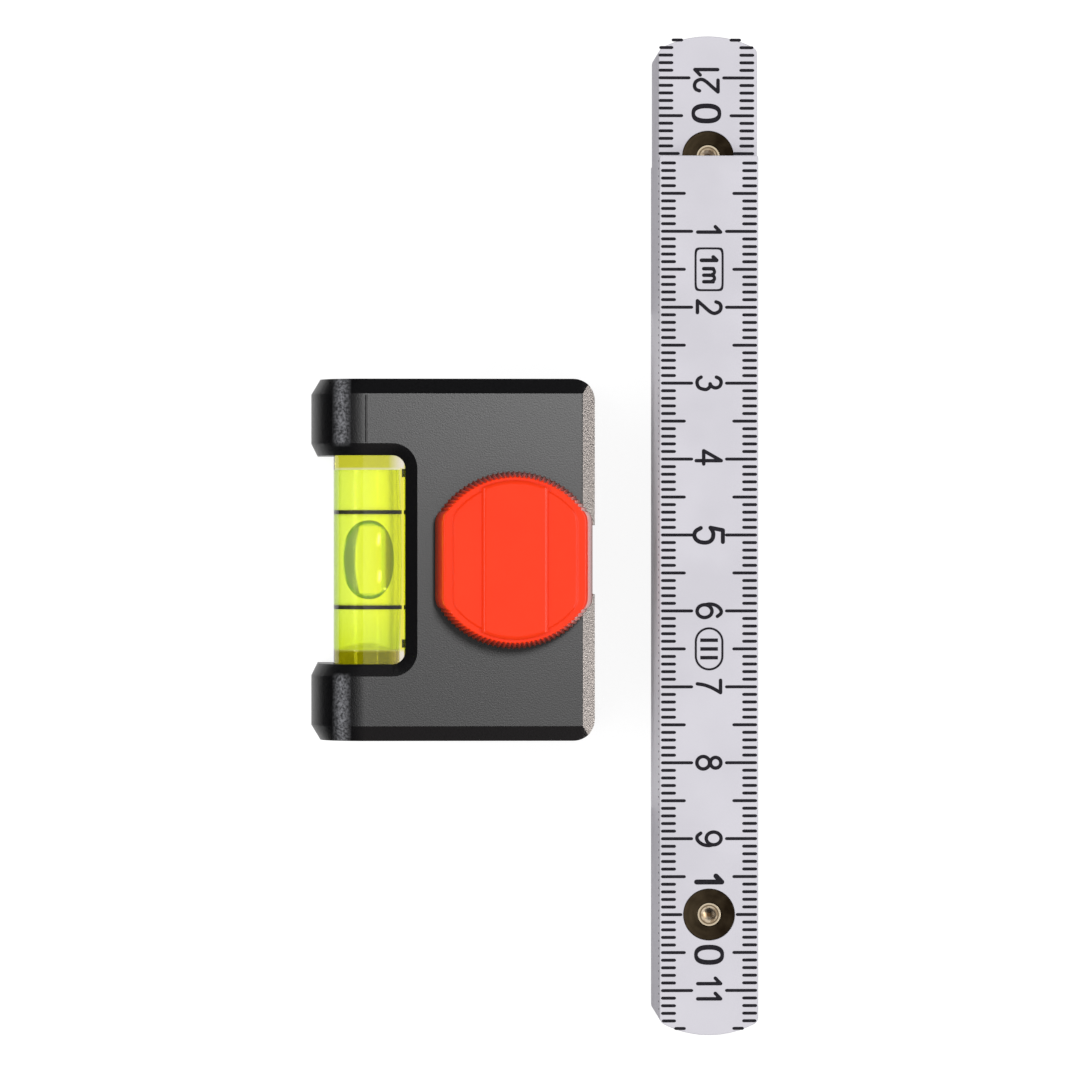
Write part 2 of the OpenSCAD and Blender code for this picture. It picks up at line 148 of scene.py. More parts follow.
def flatFace(rings, height, facing):
    # the plane area inside the first ring and outside the others, cut into triangles
    corners = np.concatenate(rings)
    flat = [[Vector(p) for p in np.column_stack([ring, 0 * ring[:, 0]]).tolist()] for ring in rings]
    triangles = np.array(tessellate_polygon(flat))
    a, b, c = (corners[triangles[:, k]] for k in range(3))
    area = (b[:, 0] - a[:, 0]) * (c[:, 1] - a[:, 1]) - (b[:, 1] - a[:, 1]) * (c[:, 0] - a[:, 0])
    triangles[area * facing < 0] = triangles[area * facing < 0][:, ::-1]
    triangles = triangles[np.abs(area) > 1e-9]
    points = np.column_stack([corners, np.full(len(corners), height)])
    normals = np.zeros_like(points) + (0, 0, facing)
    return points, normals, triangles


def gridPatch(points, closed=False):
    # normals from the cross product of the differences along both directions of the grid
    along = np.gradient(points, axis=0)
    across = (np.roll(points, -1, 1) - np.roll(points, 1, 1)) if closed else np.gradient(points, axis=1)
    normals = np.cross(across, along)
    normals /= np.maximum(np.linalg.norm(normals, axis=2, keepdims=True), 1e-12)
    return points.reshape(-1, 3), normals.reshape(-1, 3), gridFaces(*points.shape[:2], closed=closed)


def turned(patches, matrix, shift):
    # each patch turned by a matrix and then moved
    matrix = np.array(matrix, float)
    return [(points @ matrix.T + shift, normals @ matrix.T, faces) for points, normals, faces in patches]


def makePiece(name, patches, material, body, replaced=()):
    # Points less than a tenth of a micron apart become one, so seams and poles close,
    # and each corner keeps the normal of its own patch.
    points = np.concatenate([p for p, n, f in patches])
    normals = np.concatenate([n for p, n, f in patches])
    counts = np.cumsum([0] + [len(p) for p, n, f in patches])
    _, first, merged = np.unique(np.round(points * 1e4).astype(np.int64), axis=0,
                                 return_index=True, return_inverse=True)
    merged = merged.reshape(-1)
    corners, cornerNormals, sizes = [], [], []
    for (_, _, faces), offset in zip(patches, counts):
        faces = faces + offset
        welded = merged[faces]
        keep = welded != np.roll(welded, -1, axis=1)
        keep &= (keep.sum(1) >= 3)[:, None]
        corners.append(welded[keep])
        cornerNormals.append(normals[faces[keep]])
        sizes.append(keep.sum(1)[keep.any(1)])
    corners, cornerNormals, sizes = map(np.concatenate, (corners, cornerNormals, sizes))
    mesh = bpy.data.meshes.new(name)
    mesh.vertices.add(len(first))
    mesh.vertices.foreach_set("co", (points[first] * 0.001).astype(np.float32).ravel())
    mesh.loops.add(len(corners))
    mesh.loops.foreach_set("vertex_index", corners.astype(np.int32))
    mesh.polygons.add(len(sizes))
    mesh.polygons.foreach_set("loop_start", (np.cumsum(sizes) - sizes).astype(np.int32))
    mesh.polygons.foreach_set("use_smooth", np.ones(len(sizes), bool))
    mesh.update(calc_edges=True)
    mesh.normals_split_custom_set(cornerNormals.tolist())
    mesh.materials.append(material)
    piece = addObject(name, mesh)
    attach(piece, body)
    if replaced:
        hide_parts(*replaced)
    return piece


# Materials

def objectPlace(tree):
    # the place on the object in metres, and its three parts
    place = addNode(tree, "ShaderNodeTexCoord").outputs["Object"]
    return place, *addNode(tree, "ShaderNodeSeparateXYZ", links={"Vector": place}).outputs


def grain(tree, shader, sizeMm, strength, depthMm):
    # a moulded surface's fine grain, as a bump read from Object coordinates
    place = addNode(tree, "ShaderNodeTexCoord").outputs["Object"]
    noise = addNode(tree, "ShaderNodeTexNoise", {"Scale": 1000 / sizeMm, "Detail": 3.0}, {"Vector": place})
    addNode(tree, "ShaderNodeBump", {"Strength": strength, "Distance": depthMm * 0.001},
            {"Height": noise.outputs["Fac"]}, {"Normal": shader.inputs["Normal"]})
    return place, noise.outputs["Fac"]


def shadeBetween(tree, value, low, high, toneA, toneB, target=None):
    # one colour where the value is below low, the other above high, and a blend between
    share = addNode(tree, "ShaderNodeMapRange", {"From Min": low, "From Max": high}, {"Value": value})
    mix = addNode(tree, "ShaderNodeMix", {"data_type": "RGBA"}, {0: share.outputs["Result"]})
    for key, tone in ((6, toneA), (7, toneB)):
        if isinstance(tone, str):
            mix.inputs[key].default_value = linear(tone)
        else:
            tree.links.new(tone, mix.inputs[key])
    if target:
        tree.links.new(mix.outputs[2], target)
    return mix.outputs[2]


def mottled(tree, place, sizeMm, low, high, toneA, toneB, target=None):
    # a colour that wanders between two with a noise of the given size
    noise = addNode(tree, "ShaderNodeTexNoise", {"Scale": 1000 / sizeMm, "Detail": 2.0}, {"Vector": place})
    return shadeBetween(tree, noise.outputs["Fac"], low, high, toneA, toneB, target)


def distanceFrom(tree, value, middle):
    # how far a value lies from a middle, to either side
    off = addNode(tree, "ShaderNodeMath", {"operation": "SUBTRACT", 1: middle}, {0: value})
    return addNode(tree, "ShaderNodeMath", {"operation": "ABSOLUTE"}, {0: off.outputs[0]}).outputs[0]


# Pale glass-filled polyamide, moulded: satin, with a fine mould grain and faint clouds.
# The grain is 0.3 mm, coarser than the real one, which wouldn't show.
rulePlastic, tree, shader = newMaterial("mouldedPolyamidePaleGrey", Roughness=0.55, Specular_IOR_Level=0.35)
place, fine = grain(tree, shader, 0.3, 0.25, 0.02)
mottled(tree, place, 9, 0.35, 0.65, "#CFCCD3", "#D5D2D9", shader.inputs["Base Color"])

# Scale print, black pad ink on plastic: flat, slightly thin in places.
scaleInk, tree, shader = newMaterial("padPrintedBlackInk", Roughness=0.5, Specular_IOR_Level=0.15)
place, fine = grain(tree, shader, 0.3, 0.1, 0.01)
mottled(tree, place, 0.25, 0.35, 0.75, "#17151B", "#26232B", shader.inputs["Base Color"])


def jointSpoke(tree):
    # the way from the nearest joint's axis, in the plane of the rule: joints lie at X 23, Y -50 or 50 mm
    place, x, y, z = objectPlace(tree)
    offX = addNode(tree, "ShaderNodeMath", {"operation": "SUBTRACT", 1: 0.023}, {0: x}).outputs[0]
    offY = addNode(tree, "ShaderNodeMath", {"operation": "SUBTRACT", 1: 0.05}, {0: distanceFrom(tree, y, 0)})
    spoke = addNode(tree, "ShaderNodeCombineXYZ", links={"X": offX, "Y": offY.outputs[0]})
    return place, offX, spoke.outputs[0]


# Browned bronze, turned: nearly black brown, blotched with stains, with a painted highlight that makes
# each washer paler towards its left, and fine rings round each joint. Rings are 0.12 mm apart, about twice
# the real cutter marks, so that they show.
washerBronze, tree, shader = newMaterial("turnedBrownedBronze", Metallic=1.0, Roughness=0.4)
place, offX, spoke = jointSpoke(tree)
rings = addNode(tree, "ShaderNodeTexWave", {"wave_type": "RINGS", "rings_direction": "Z", "Distortion": 0.6,
                                            "Scale": 1000 / 0.12 / 20, "Detail": 1.0}, {"Vector": spoke})
addNode(tree, "ShaderNodeBump", {"Strength": 0.5, "Distance": 0.00003}, {"Height": rings.outputs["Fac"]},
        {"Normal": shader.inputs["Normal"]})
stains = addNode(tree, "ShaderNodeTexNoise", {"Scale": 1000 / 1.8, "Detail": 3.0}, {"Vector": place})
# painted highlight: paler towards the left of each joint, mixed with the stains
paintedLeftSheenAndStains = addNode(tree, "ShaderNodeMath", {"operation": "MULTIPLY_ADD", 1: -110.0},
                {0: offX, 2: stains.outputs["Fac"]}).outputs[0]
shadeBetween(tree, paintedLeftSheenAndStains, 0.15, 0.95, "#231B12", "#4B4030", shader.inputs["Base Color"])


def brushedMetal(name, toneA, toneB, roughness, sizeMm):
    # turned or drawn metal: colour and roughness wander a little with a fine noise
    material, tree, shader = newMaterial(name, Metallic=1.0, Roughness=roughness)
    place, fine = grain(tree, shader, sizeMm, 0.15, 0.01)
    shadeBetween(tree, fine, 0, 1, toneA, toneB, shader.inputs["Base Color"])
    wander = {"From Min": 0.3, "From Max": 0.7, "To Min": roughness * 0.8, "To Max": roughness * 1.2}
    addNode(tree, "ShaderNodeMapRange", wander, {"Value": fine}, {0: shader.inputs["Roughness"]})
    return material


# Brass, rolled over: blotched brass in the cup, with painted shade that turns it brown at its bottom round
# the hole and duller from the groove inside the rim outwards, and a painted highlight that makes the rim
# pale.
rivetBrass, tree, shader = newMaterial("rolledBrass", Metallic=1.0, Roughness=0.26)
place, offX, spoke = jointSpoke(tree)
away = addNode(tree, "ShaderNodeVectorMath", {"operation": "LENGTH"}, {0: spoke}).outputs["Value"]
blotches = addNode(tree, "ShaderNodeTexNoise", {"Scale": 1000 / 0.7, "Detail": 3.0}, {"Vector": place})
addNode(tree, "ShaderNodeBump", {"Strength": 0.3, "Distance": 0.00004}, {"Height": blotches.outputs["Fac"]},
        {"Normal": shader.inputs["Normal"]})
flare = shadeBetween(tree, blotches.outputs["Fac"], 0.4, 0.6, "#A08B70", "#D8C7AE")
# painted shade: brown at the cup's bottom, round the hole
flare = shadeBetween(tree, away, 0.00025, 0.00055, "#5E4932", flare)
# painted shade: duller from the groove inside the rim outwards
flare = shadeBetween(tree, away, 0.00104, 0.00116, flare, "#7E6C55")
# painted highlight: the rim pale
shadeBetween(tree, away, 0.00124, 0.00134, flare, "#D2C2A8", shader.inputs["Base Color"])
springSteel = brushedMetal("coldRolledSpringSteel", "#9C9EA1", "#B3B5B8", 0.32, 0.2)
insertBrass = brushedMetal("turnedBrass", "#AE8F4C", "#C6A965", 0.3, 0.2)
screwSteel = brushedMetal("zincPlatedSteel", "#909294", "#A9ABAE", 0.33, 0.25)

# Black ABS from a spark-eroded mould: a matt skin that turns grey where it faces the light. Its
# grain is 0.2 mm, deepest on the bevel at the right, where light rakes over it. A painted highlight
# makes the crest of each ear, round X -25.4 mm and more than 15 mm from the level's middle, mottled grey.
bodyPlastic, tree, shader = newMaterial("sparkErodedBlackAbs", Roughness=0.38, Specular_IOR_Level=0.5)
place, x, y, z = objectPlace(tree)
pits = addNode(tree, "ShaderNodeTexNoise", {"Scale": 1000 / 0.2, "Detail": 3.0}, {"Vector": place}).outputs[0]
pitDepths = []
for low, high, before, after in ((-0.0240, -0.0225, 0.00003, 0.0), (0.0064, 0.0068, 0.00002, 0.00015)):
    limits = {"From Min": low, "From Max": high, "To Min": before, "To Max": after}
    pitDepths.append(addNode(tree, "ShaderNodeMapRange", limits, {"Value": x}).outputs[0])
deep = addNode(tree, "ShaderNodeMath", {"operation": "ADD"}, dict(enumerate(pitDepths))).outputs[0]
addNode(tree, "ShaderNodeBump", {"Strength": 0.7}, {"Height": pits, "Distance": deep},
        {"Normal": shader.inputs["Normal"]})
moulded = shadeBetween(tree, pits, 0, 1, "#0A0A0B", "#111013")
# painted highlight on the ears' crests, mottled grey
paintedCrestHighlight = mottled(tree, place, 0.35, 0.35, 0.65, "#3E3E40", "#87878B")
crest = shadeBetween(tree, distanceFrom(tree, x, -0.0254), 0.0002, 0.0013, paintedCrestHighlight, moulded)
crest = shadeBetween(tree, z, 0.0119, 0.0123, moulded, crest)
fromMiddle = distanceFrom(tree, y, -0.0033)
shadeBetween(tree, fromMiddle, 0.0150, 0.0158, moulded, crest, shader.inputs["Base Color"])

# Clear acrylic, polished: the vial's block. Its colours are painted reflections of the dye and its
# surroundings:
# the sawn-off ends olive yellow, turning milky at their inner corners as a painted glint, the outer edge
# grey-green and the inner edge straw yellow.
clearAcrylic, tree, shader = newMaterial("polishedClearAcrylic", Roughness=0.01, IOR=1.49,
                                         Transmission_Weight=1.0)
place, fine = grain(tree, shader, 3.0, 0.05, 0.02)
x, y, z = addNode(tree, "ShaderNodeSeparateXYZ", links={"Vector": place}).outputs
# painted reflection: grey-green at the outer edge, then pale, then straw yellow at the inner edge
sides = shadeBetween(tree, x, -0.0262, -0.0254, "#A9BC8C", "#F4F6D6")
sides = shadeBetween(tree, x, -0.0180, -0.0175, sides, "#F0E64A")
# painted reflection of the dye in the ends, with a painted milky glint at their inner corners
ends = shadeBetween(tree, x, -0.0192, -0.0174, "#CDCB38", "#F2E9DC")
shadeBetween(tree, distanceFrom(tree, y, -0.0033), 0.0119, 0.0124, sides, ends, shader.inputs["Base Color"])

# Spirit with a fluorescent dye: clear, greenish at its outer side and yellow towards its inner side,
# and duller olive towards the -Y end. Its glow is partly the dye's fluorescence and partly painted light,
# standing in for light that comes up through the vial from below.
dyedSpirit, tree, shader = newMaterial("fluorescentSpiritPaintedGlow", Roughness=0.25, IOR=1.36, Transmission_Weight=1.0,
                                       Emission_Color=linear("#E6F23C"), Emission_Strength=0.16)
place, x, y, z = objectPlace(tree)
deep = shadeBetween(tree, x, -0.0262, -0.0205, "#D4EA90", "#F5F93A")
shadeBetween(tree, y, -0.0145, -0.0090, "#D2E244", deep, shader.inputs["Base Color"])

# Air in the spirit: almost clear, its skin coloured with painted refraction and reflection, and painted
# glints that glow.
bubbleSkin, tree, shader = newMaterial("airBubbleSkin", Roughness=0.0, IOR=1.1, Transmission_Weight=1.0,
                                       Emission_Strength=1.0)
for layer, socket in (("skinTint", "Base Color"), ("glint", "Emission Color")):
    addNode(tree, "ShaderNodeAttribute", {"attribute_name": layer}, feeds={"Color": shader.inputs[socket]})

# Black ink in the vial's index grooves.
indexInk, tree, shader = newMaterial("indexRingInk", Roughness=0.4)
place = addNode(tree, "ShaderNodeTexCoord").outputs["Object"]
mottled(tree, place, 0.3, 0, 1, "#0C0C00", "#181803", shader.inputs["Base Color"])

# Signal-red ABS, moulded satin: strong even colour, soft pale highlights along its edges, and
# painted shade that darkens its wall towards its foot.
knobPlastic, tree, shader = newMaterial("satinRedAbs", Roughness=0.22, Specular_IOR_Level=0.3)
place, fine = grain(tree, shader, 0.25, 0.12, 0.02)
tone = mottled(tree, place, 6, 0, 1, "#FF360C", "#FF3D14")
x, y, z = addNode(tree, "ShaderNodeSeparateXYZ", links={"Vector": place}).outputs
# painted shade: the wall darker towards its foot
shadeBetween(tree, z, 0.0185, 0.0228, "#8A2A10", tone, shader.inputs["Base Color"])
print("materials made")


# Rule

rule = {"legs": 10, "jointSpacing": 100.0, "x": 23.0, "width": 13.0, "thickness": 2.1, "pitch": 2.2,
        "endRadius": 13.0, "cornerRadius": 1.0, "overhang": 15.9, "squareCorner": 0.3, "edgeRound": 0.15,
        "washerPocket": 3.42, "springPocket": 4.02, "rivetHole": 1.0, "turningHole": 1.05,
        "pocketDepth": 0.5, "springDepth": 0.4, "lip": 0.05,
        "dimple": {"reach": 2.8, "mouth": 0.6, "floor": 0.5, "depth": 0.12}}


def jointSide(i):
    return -1 if i % 2 else 1


def jointPlace(i):
    return rule["x"], jointSide(i) * rule["jointSpacing"] / 2


def legBase(i):
    return (rule["legs"] - i) * rule["pitch"]


def arc(centre, radius, start, end, steps):
    # points centre + radius * (cos, sin) and their outward directions
    turn = np.radians(np.linspace(start, end, steps + 1))
    outward = np.stack([np.cos(turn), np.sin(turn)], 1)
    return np.array(centre) + radius * outward, outward


def endArc():
    # the middle of a leg's end arc, how far above it the corners' middles lie, and how far out
    x, radius = rule["width"] / 2 - rule["cornerRadius"], rule["endRadius"]
    arcY = rule["jointSpacing"] / 2 + rule["overhang"] - radius
    return arcY, math.sqrt((radius - rule["cornerRadius"]) ** 2 - x ** 2), x


def legEnd(square):
    # one end towards +Y, counterclockwise: a wide arc between two small corners, or two square corners
    half, corner = rule["width"] / 2, rule["cornerRadius"]
    if square:
        small = rule["squareCorner"]
        x, y = half - small, rule["jointSpacing"] / 2 - small
        parts = [arc((x, y), small, 0, 90, 4), arc((-x, y), small, 90, 180, 4)]
    else:
        arcY, rise, x = endArc()
        meet = math.degrees(math.atan2(rise, x))
        parts = [arc((x, arcY + rise), corner, 0, meet, 6),
                 arc((0, arcY), rule["endRadius"], meet, 180 - meet, 24),
                 arc((-x, arcY + rise), corner, 180 - meet, 180, 6)]
    points, outward = (np.concatenate([part[k] for part in parts]) for k in (0, 1))
    keep = np.r_[True, np.linalg.norm(np.diff(points, axis=0), axis=1) > 1e-6]
    return points[keep], outward[keep]


def roundedWall(low, high, radius, steps=4):
    # section of a plate's edge: rounded from the lower face to the upper one
    lower = bend(-radius, low + radius, radius, -90, 0, steps)
    upper = bend(-radius, high - radius, radius, 0, 90, steps)
    return np.concatenate([lower, upper])


def makeLeg(i):
    far, farOut = legEnd(i in (1, rule["legs"]))
    near, nearOut = legEnd(False)
    loop, outward = np.concatenate([far, -near]), np.concatenate([farOut, -nearOut])
    loop = loop + (rule["x"], 0)
    low, high, r = legBase(i), legBase(i) + rule["thickness"], rule["edgeRound"]
    inset = loop - r * outward
    patches = [strip(loop, outward, roundedWall(low, high, r))]
    top, bottom = [inset], [inset]
    lip = rule["lip"]
    if i < rule["legs"]:  # the joint that this leg lies on top of
        centre, spoke = circleLoop(*jointPlace(i), 72)
        w, s, h = rule["washerPocket"], rule["springPocket"], rule["rivetHole"]
        floor, roof = high - rule["pocketDepth"], low + rule["springDepth"]
        patches += facets(centre, spoke, [(w + lip, high), (w, high - lip), (w, floor), (h, floor),
                                          (h, roof), (s, roof), (s, low + lip), (s + lip, low)])
        top.append(centre + (w + lip) * spoke)
        bottom.append(centre + (s + lip) * spoke)
    if i > 1:  # the joint that this leg lies under
        centre, spoke = circleLoop(*jointPlace(i - 1), 72)
        w, h, roof = rule["washerPocket"], rule["turningHole"], low + rule["pocketDepth"]
        patches += facets(centre, spoke, [(h, high), (h, roof), (w, roof), (w, low + lip), (w + lip, low)])
        top.append(centre + h * spoke)
        bottom.append(centre + (w + lip) * spoke)
        size = rule["dimple"]
        x, y = jointPlace(i - 1)
        for turn in np.radians([45, 135, 225, 315]):  # recesses that the detent bumps snap into
            place = x + size["reach"] * math.cos(turn), y + size["reach"] * math.sin(turn)
            dimple, around = circleLoop(*place, 16)
            foot = high - size["depth"]
            patches += facets(dimple, around, [(size["mouth"], high), (size["floor"], foot), (0, foot)])
            top.append(dimple + size["mouth"] * around)
    patches += [flatFace(top, high, 1), flatFace(bottom, low, -1)]
    makePiece(f"ruleLeg{i}", patches, rulePlastic, f"rule_leg_{i}", [f"leg_{i}"])


for i in range(1, rule["legs"] + 1):
    makeLeg(i)
print("rule legs made")


# Joints: washers let into both faces, hollow rivet rolled over them, spring disc between the legs

joint = {"washer": 3.4, "thick": 0.5, "rim": 0.14, "rimTurn": 88, "dish": 0.07, "lead": 0.06,
         "leadDepth": 0.05, "flange": 1.55, "flangeThick": 0.2, "recess": 0.24, "shank": 1.0, "turning": 1.05,
         "frontPlay": 0.02, "backPlay": 0.05, "foot": 0.02, "roll": 0.07, "groove": 1.17,
         "grooveWidth": 0.07, "grooveDepth": 0.03, "cup": 1.12, "cupDepth": 0.3}


def makeJoint(i):
    centre, spoke = circleLoop(*jointPlace(i), 72)
    upper, lower = legBase(i), legBase(i + 1)
    w, rim, dish, lead = joint["washer"], joint["rim"], joint["dish"], joint["lead"]

    high, low = upper + rule["thickness"], upper + rule["thickness"] - joint["thick"]
    mouth, turn = joint["flange"] + joint["frontPlay"], math.radians(joint["rimTurn"])
    rimTop = (w - rim * (1 - math.cos(turn)), high - dish - rim + rim * math.sin(turn))
    front = facets(centre, spoke, [(joint["shank"], low), (w, low), (w, high - dish - rim)])
    front.append(strip(centre, spoke, bend(w - rim, high - dish - rim, rim, 0, joint["rimTurn"], 5)))
    front += facets(centre, spoke, [rimTop, (mouth + lead, high), (mouth, high - joint["leadDepth"]),
                                    (mouth, high - joint["recess"]), (joint["shank"], high - joint["recess"]),
                                    (joint["shank"], low)])
    name, node = f"frontWasher{i}", f"front_washer_{i}"
    makePiece(name, front, washerBronze, f"rule_leg_{i}", [node])

    low, high, mouth = lower, lower + joint["thick"], joint["flange"] + joint["backPlay"]
    mouthTop = (mouth, low + joint["leadDepth"])
    back = facets(centre, spoke, [mouthTop, (mouth + lead, low), (w - rim, low + dish)])
    back.append(strip(centre, spoke, bend(w - rim, low + dish + rim, rim, -90, 0, 5)))
    back += facets(centre, spoke, [(w, low + dish + rim), (w, high), (joint["turning"], high),
                                   (joint["turning"], low + joint["recess"]), (mouth, low + joint["recess"]),
                                   mouthTop])
    name, node = f"backWasher{i}", f"back_washer_{i}"
    makePiece(name, back, washerBronze, f"rule_leg_{i + 1}", [node])

    # The rivet's section: a straight shank whose two ends are cupped and rolled over into flanges.
    top = upper + rule["thickness"] - joint["recess"] + joint["flangeThick"]
    foot = lower + joint["foot"]
    t, f, s, roll = joint["flangeThick"], joint["flange"], joint["shank"], joint["roll"]
    # the cup's depth is half a cosine wave, and the groove round it a bell curve
    out = np.linspace(f - roll, 0, 31)
    cup = joint["cupDepth"] * (0.5 + 0.5 * np.cos(np.pi * np.minimum(out / joint["cup"], 1)))
    cup += joint["grooveDepth"] * np.exp(-((out - joint["groove"]) / joint["grooveWidth"]) ** 2)
    slope = np.gradient(-cup, out)
    steep = np.sqrt(1 + slope ** 2)
    head = np.stack([out, top - cup, -slope / steep, 1 / steep], 1)
    tail = np.stack([out, foot + cup, -slope / steep, -1 / steep], 1)[::-1]
    sections = [
        bend(f - roll, foot + roll, roll, -90, 90, 8),
        np.array([(f - roll, foot + 2 * roll, 0, 1), (s, foot + t, 0, 1)]),
        np.array([(s, foot + t, 1, 0), (s, top - t, 1, 0)]),
        np.array([(s, top - t, 0, -1), (f - roll, top - 2 * roll, 0, -1)]),
        bend(f - roll, top - roll, roll, -90, 90, 8),
    ]
    rivet = [strip(centre, spoke, section) for section in [head, tail] + sections]
    makePiece(f"hollowRivet{i}", rivet, rivetBrass, f"rule_leg_{i}", [f"hollow_rivet_{i}"])


for i in range(1, rule["legs"]):
    makeJoint(i)
print("joints made")


# Scale print: thin plates of ink a few hundredths proud of each face

scale = {"ink": 0.015, "layer": 0.003, "sunk": 0.03, "line": 0.4, "stroke": 0.46, "edge": 0.14, "mm": 4.35,
         "fiveMm": 3.05, "cm": 2.08, "atJoint": 3.5, "boldStroke": 0.66, "boldSize": 1.1, "digitGap": 1.0,
         "boldGap": 2.3, "boldBefore": 4.4, "boldAfter": 5.3, "outOfRegister": {2: (-0.22, 0.4)},
         "nought": [(1.32, 1.97, 2.5), (0.68, 1.5, 2.3)]}  # half width, half height, power

# Each digit is strokes in millimetres, u in the reading direction and v up: straight lines,
# smooth curves through their points, and rings given by centre and half axes.
digits = {
    "1": {"line": [[(0.10, -1.5), (0.10, 1.52), (-0.62, 0.82)]],
          "solid": [[(0.2, 1.62), (-0.6, 0.84), (-0.5, 0.7), (0.1, 1.1)]]},
    "2": {"line": [[(-0.85, -1.54), (0.71, -1.54)]],
          "curve": [[(-0.71, 0.91), (-0.50, 1.38), (-0.05, 1.57), (0.50, 1.38), (0.80, 0.75), (0.58, 0.12),
                     (-0.20, -0.78), (-0.85, -1.54)]]},
    "3": {"curve": [[(-0.80, 0.96), (-0.55, 1.42), (-0.10, 1.59), (0.42, 1.38), (0.62, 0.85), (0.42, 0.34),
                     (0.08, 0.14)],
                    [(0.08, 0.14), (0.50, 0.08), (0.80, -0.30), (0.80, -0.75), (0.56, -1.34), (0.0, -1.59),
                     (-0.52, -1.45), (-0.80, -1.05)]]},
    "4": {"line": [[(0.21, -1.7), (0.21, 1.6), (-1.10, -0.71), (0.65, -0.71)]]},
    "5": {"line": [[(0.92, 1.82), (-0.63, 1.82), (-0.96, 0.18)]], "stroke": 0.54,
          "curve": [[(-0.96, 0.18), (-0.50, 0.47), (0.0, 0.56), (0.56, 0.40), (0.92, -0.05), (1.0, -0.7),
                     (0.85, -1.35), (0.48, -1.79), (0.0, -1.95), (-0.52, -1.74), (-0.92, -1.1)]]},
    "6": {"ring": [(0.03, -0.60, 0.84, 0.98)],
          "curve": [[(-0.8, -0.52), (-0.9, 0.1), (-0.74, 0.88), (-0.24, 1.49), (0.3, 1.57), (0.72, 1.1)]]},
    "7": {"line": [[(-0.86, 1.51), (0.77, 1.51)]],
          "curve": [[(0.77, 1.51), (0.36, 0.82), (0.02, 0.13), (-0.26, -0.70), (-0.40, -1.55)]]},
    "8": {"ring": [(0, -0.77, 0.82, 0.84), (0, 0.86, 0.70, 0.69)]},
    "0": {"ring": [(0, 0, 0.90, 1.58)]},
}
digits["9"] = {"ring": [(-u, -v, a, b) for u, v, a, b in digits["6"]["ring"]],
               "curve": [[(-u, -v) for u, v in line] for line in digits["6"]["curve"]]}


def smoothCurve(points, perSpan=5):
    # Catmull-Rom: each span is a cubic through its two points, with slopes taken from their neighbours
    p = np.array(points, float)
    p = np.concatenate([2 * p[:1] - p[1:2], p, 2 * p[-1:] - p[-2:-1]])
    t = np.linspace(0, 1, perSpan, endpoint=False)[None, :, None]
    a, b, c, d = (p[k:len(p) - 3 + k, None] for k in range(4))
    square, cube = 2 * a - 5 * b + 4 * c - d, 3 * b - a - 3 * c + d
    spans = 0.5 * (2 * b + (c - a) * t + square * t ** 2 + cube * t ** 3)
    return np.concatenate([spans.reshape(-1, 2), p[-2:-1]])


def ribbonOutline(path, width):
    # a path widened to both sides, with half circles round its two ends, counterclockwise
    path = np.array(path, float)
    along = np.gradient(path, axis=0)
    along /= np.linalg.norm(along, axis=1, keepdims=True)
    aside = np.stack([along[:, 1], -along[:, 0]], 1) * width / 2
    cap = np.radians(np.linspace(-90, 90, 7)[1:-1])[:, None]
    ends = []
    for k, side in ((-1, 1), (0, -1)):  # the last point's cap, then the first one's
        across = np.array([-along[k][1], along[k][0]])
        ends.append(path[k] + side * width / 2 * (np.cos(cap) * along[k] + np.sin(cap) * across))
    return np.concatenate([path + aside, ends[0], (path - aside)[::-1], ends[1]])


def ellipseRing(u, v, halfU, halfV, power=2.0, count=40):
    # superellipse: |u / a| to the power p plus |v / b| to the power p is one
    turn = np.linspace(0, 2 * np.pi, count, endpoint=False)
    c, s = np.cos(turn), np.sin(turn)
    x, y = (np.sign(part) * np.abs(part) ** (2 / power) for part in (c, s))
    return np.stack([u + halfU * x, v + halfV * y], 1)


def digitAreas(digit, weight=None, size=1.0):
    # list of areas, each an outline followed by its holes
    shape = digits[digit]
    width = weight or shape.get("stroke", scale["stroke"])
    areas = []
    for path in shape.get("line", []):
        corners = np.array(path, float) * size
        areas += [[ribbonOutline(np.stack([a, b]), width)] for a, b in zip(corners[:-1], corners[1:])]
    for path in shape.get("curve", []):
        areas.append([ribbonOutline(smoothCurve(np.array(path) * size), width)])
    for ring in shape.get("ring", []):
        u, v, a, b = (part * size for part in ring)
        areas.append([ellipseRing(u, v, a + half, b + half) for half in (width / 2, -width / 2)])
    return areas + [[np.array(corners) * size] for corners in shape.get("solid", [])]


def shifted(areas, u):
    return [[ring + (u, 0) for ring in area] for area in areas]


def numberAreas(value, u):
    # a plain number centred on its line
    text = str(value)
    areas = []
    for k, digit in enumerate(text):
        areas += shifted(digitAreas(digit), u + (2 * k - len(text) + 1) * scale["digitGap"])
    return areas


def decadeAreas(value, u):
    # the tens stand before the joint and the nought after it
    tens = str(value // 10)
    areas = []
    for k, digit in enumerate(tens[::-1]):
        bold = digitAreas(digit, scale["boldStroke"], scale["boldSize"])
        areas = shifted(bold, u - scale["boldBefore"] - scale["boldGap"] * k) + areas
    nought = [ellipseRing(0, 0, *size) for size in scale["nought"]]
    return areas + shifted([nought], u + scale["boldAfter"])


def halfWidthAt(y):
    # half of the leg's face at a distance from its middle, inside the end arc and its corners
    half, corner, radius = rule["width"] / 2, rule["cornerRadius"], rule["endRadius"]
    arcY, rise, x = endArc()
    onArc = np.sqrt(np.maximum(radius ** 2 - (y - arcY) ** 2, 0))
    onCorner = x + np.sqrt(np.maximum(corner ** 2 - (y - arcY - rise) ** 2, 0))
    return np.where(y <= arcY + rise, half, np.where(onArc > half - corner * 0.54, onCorner, onArc))


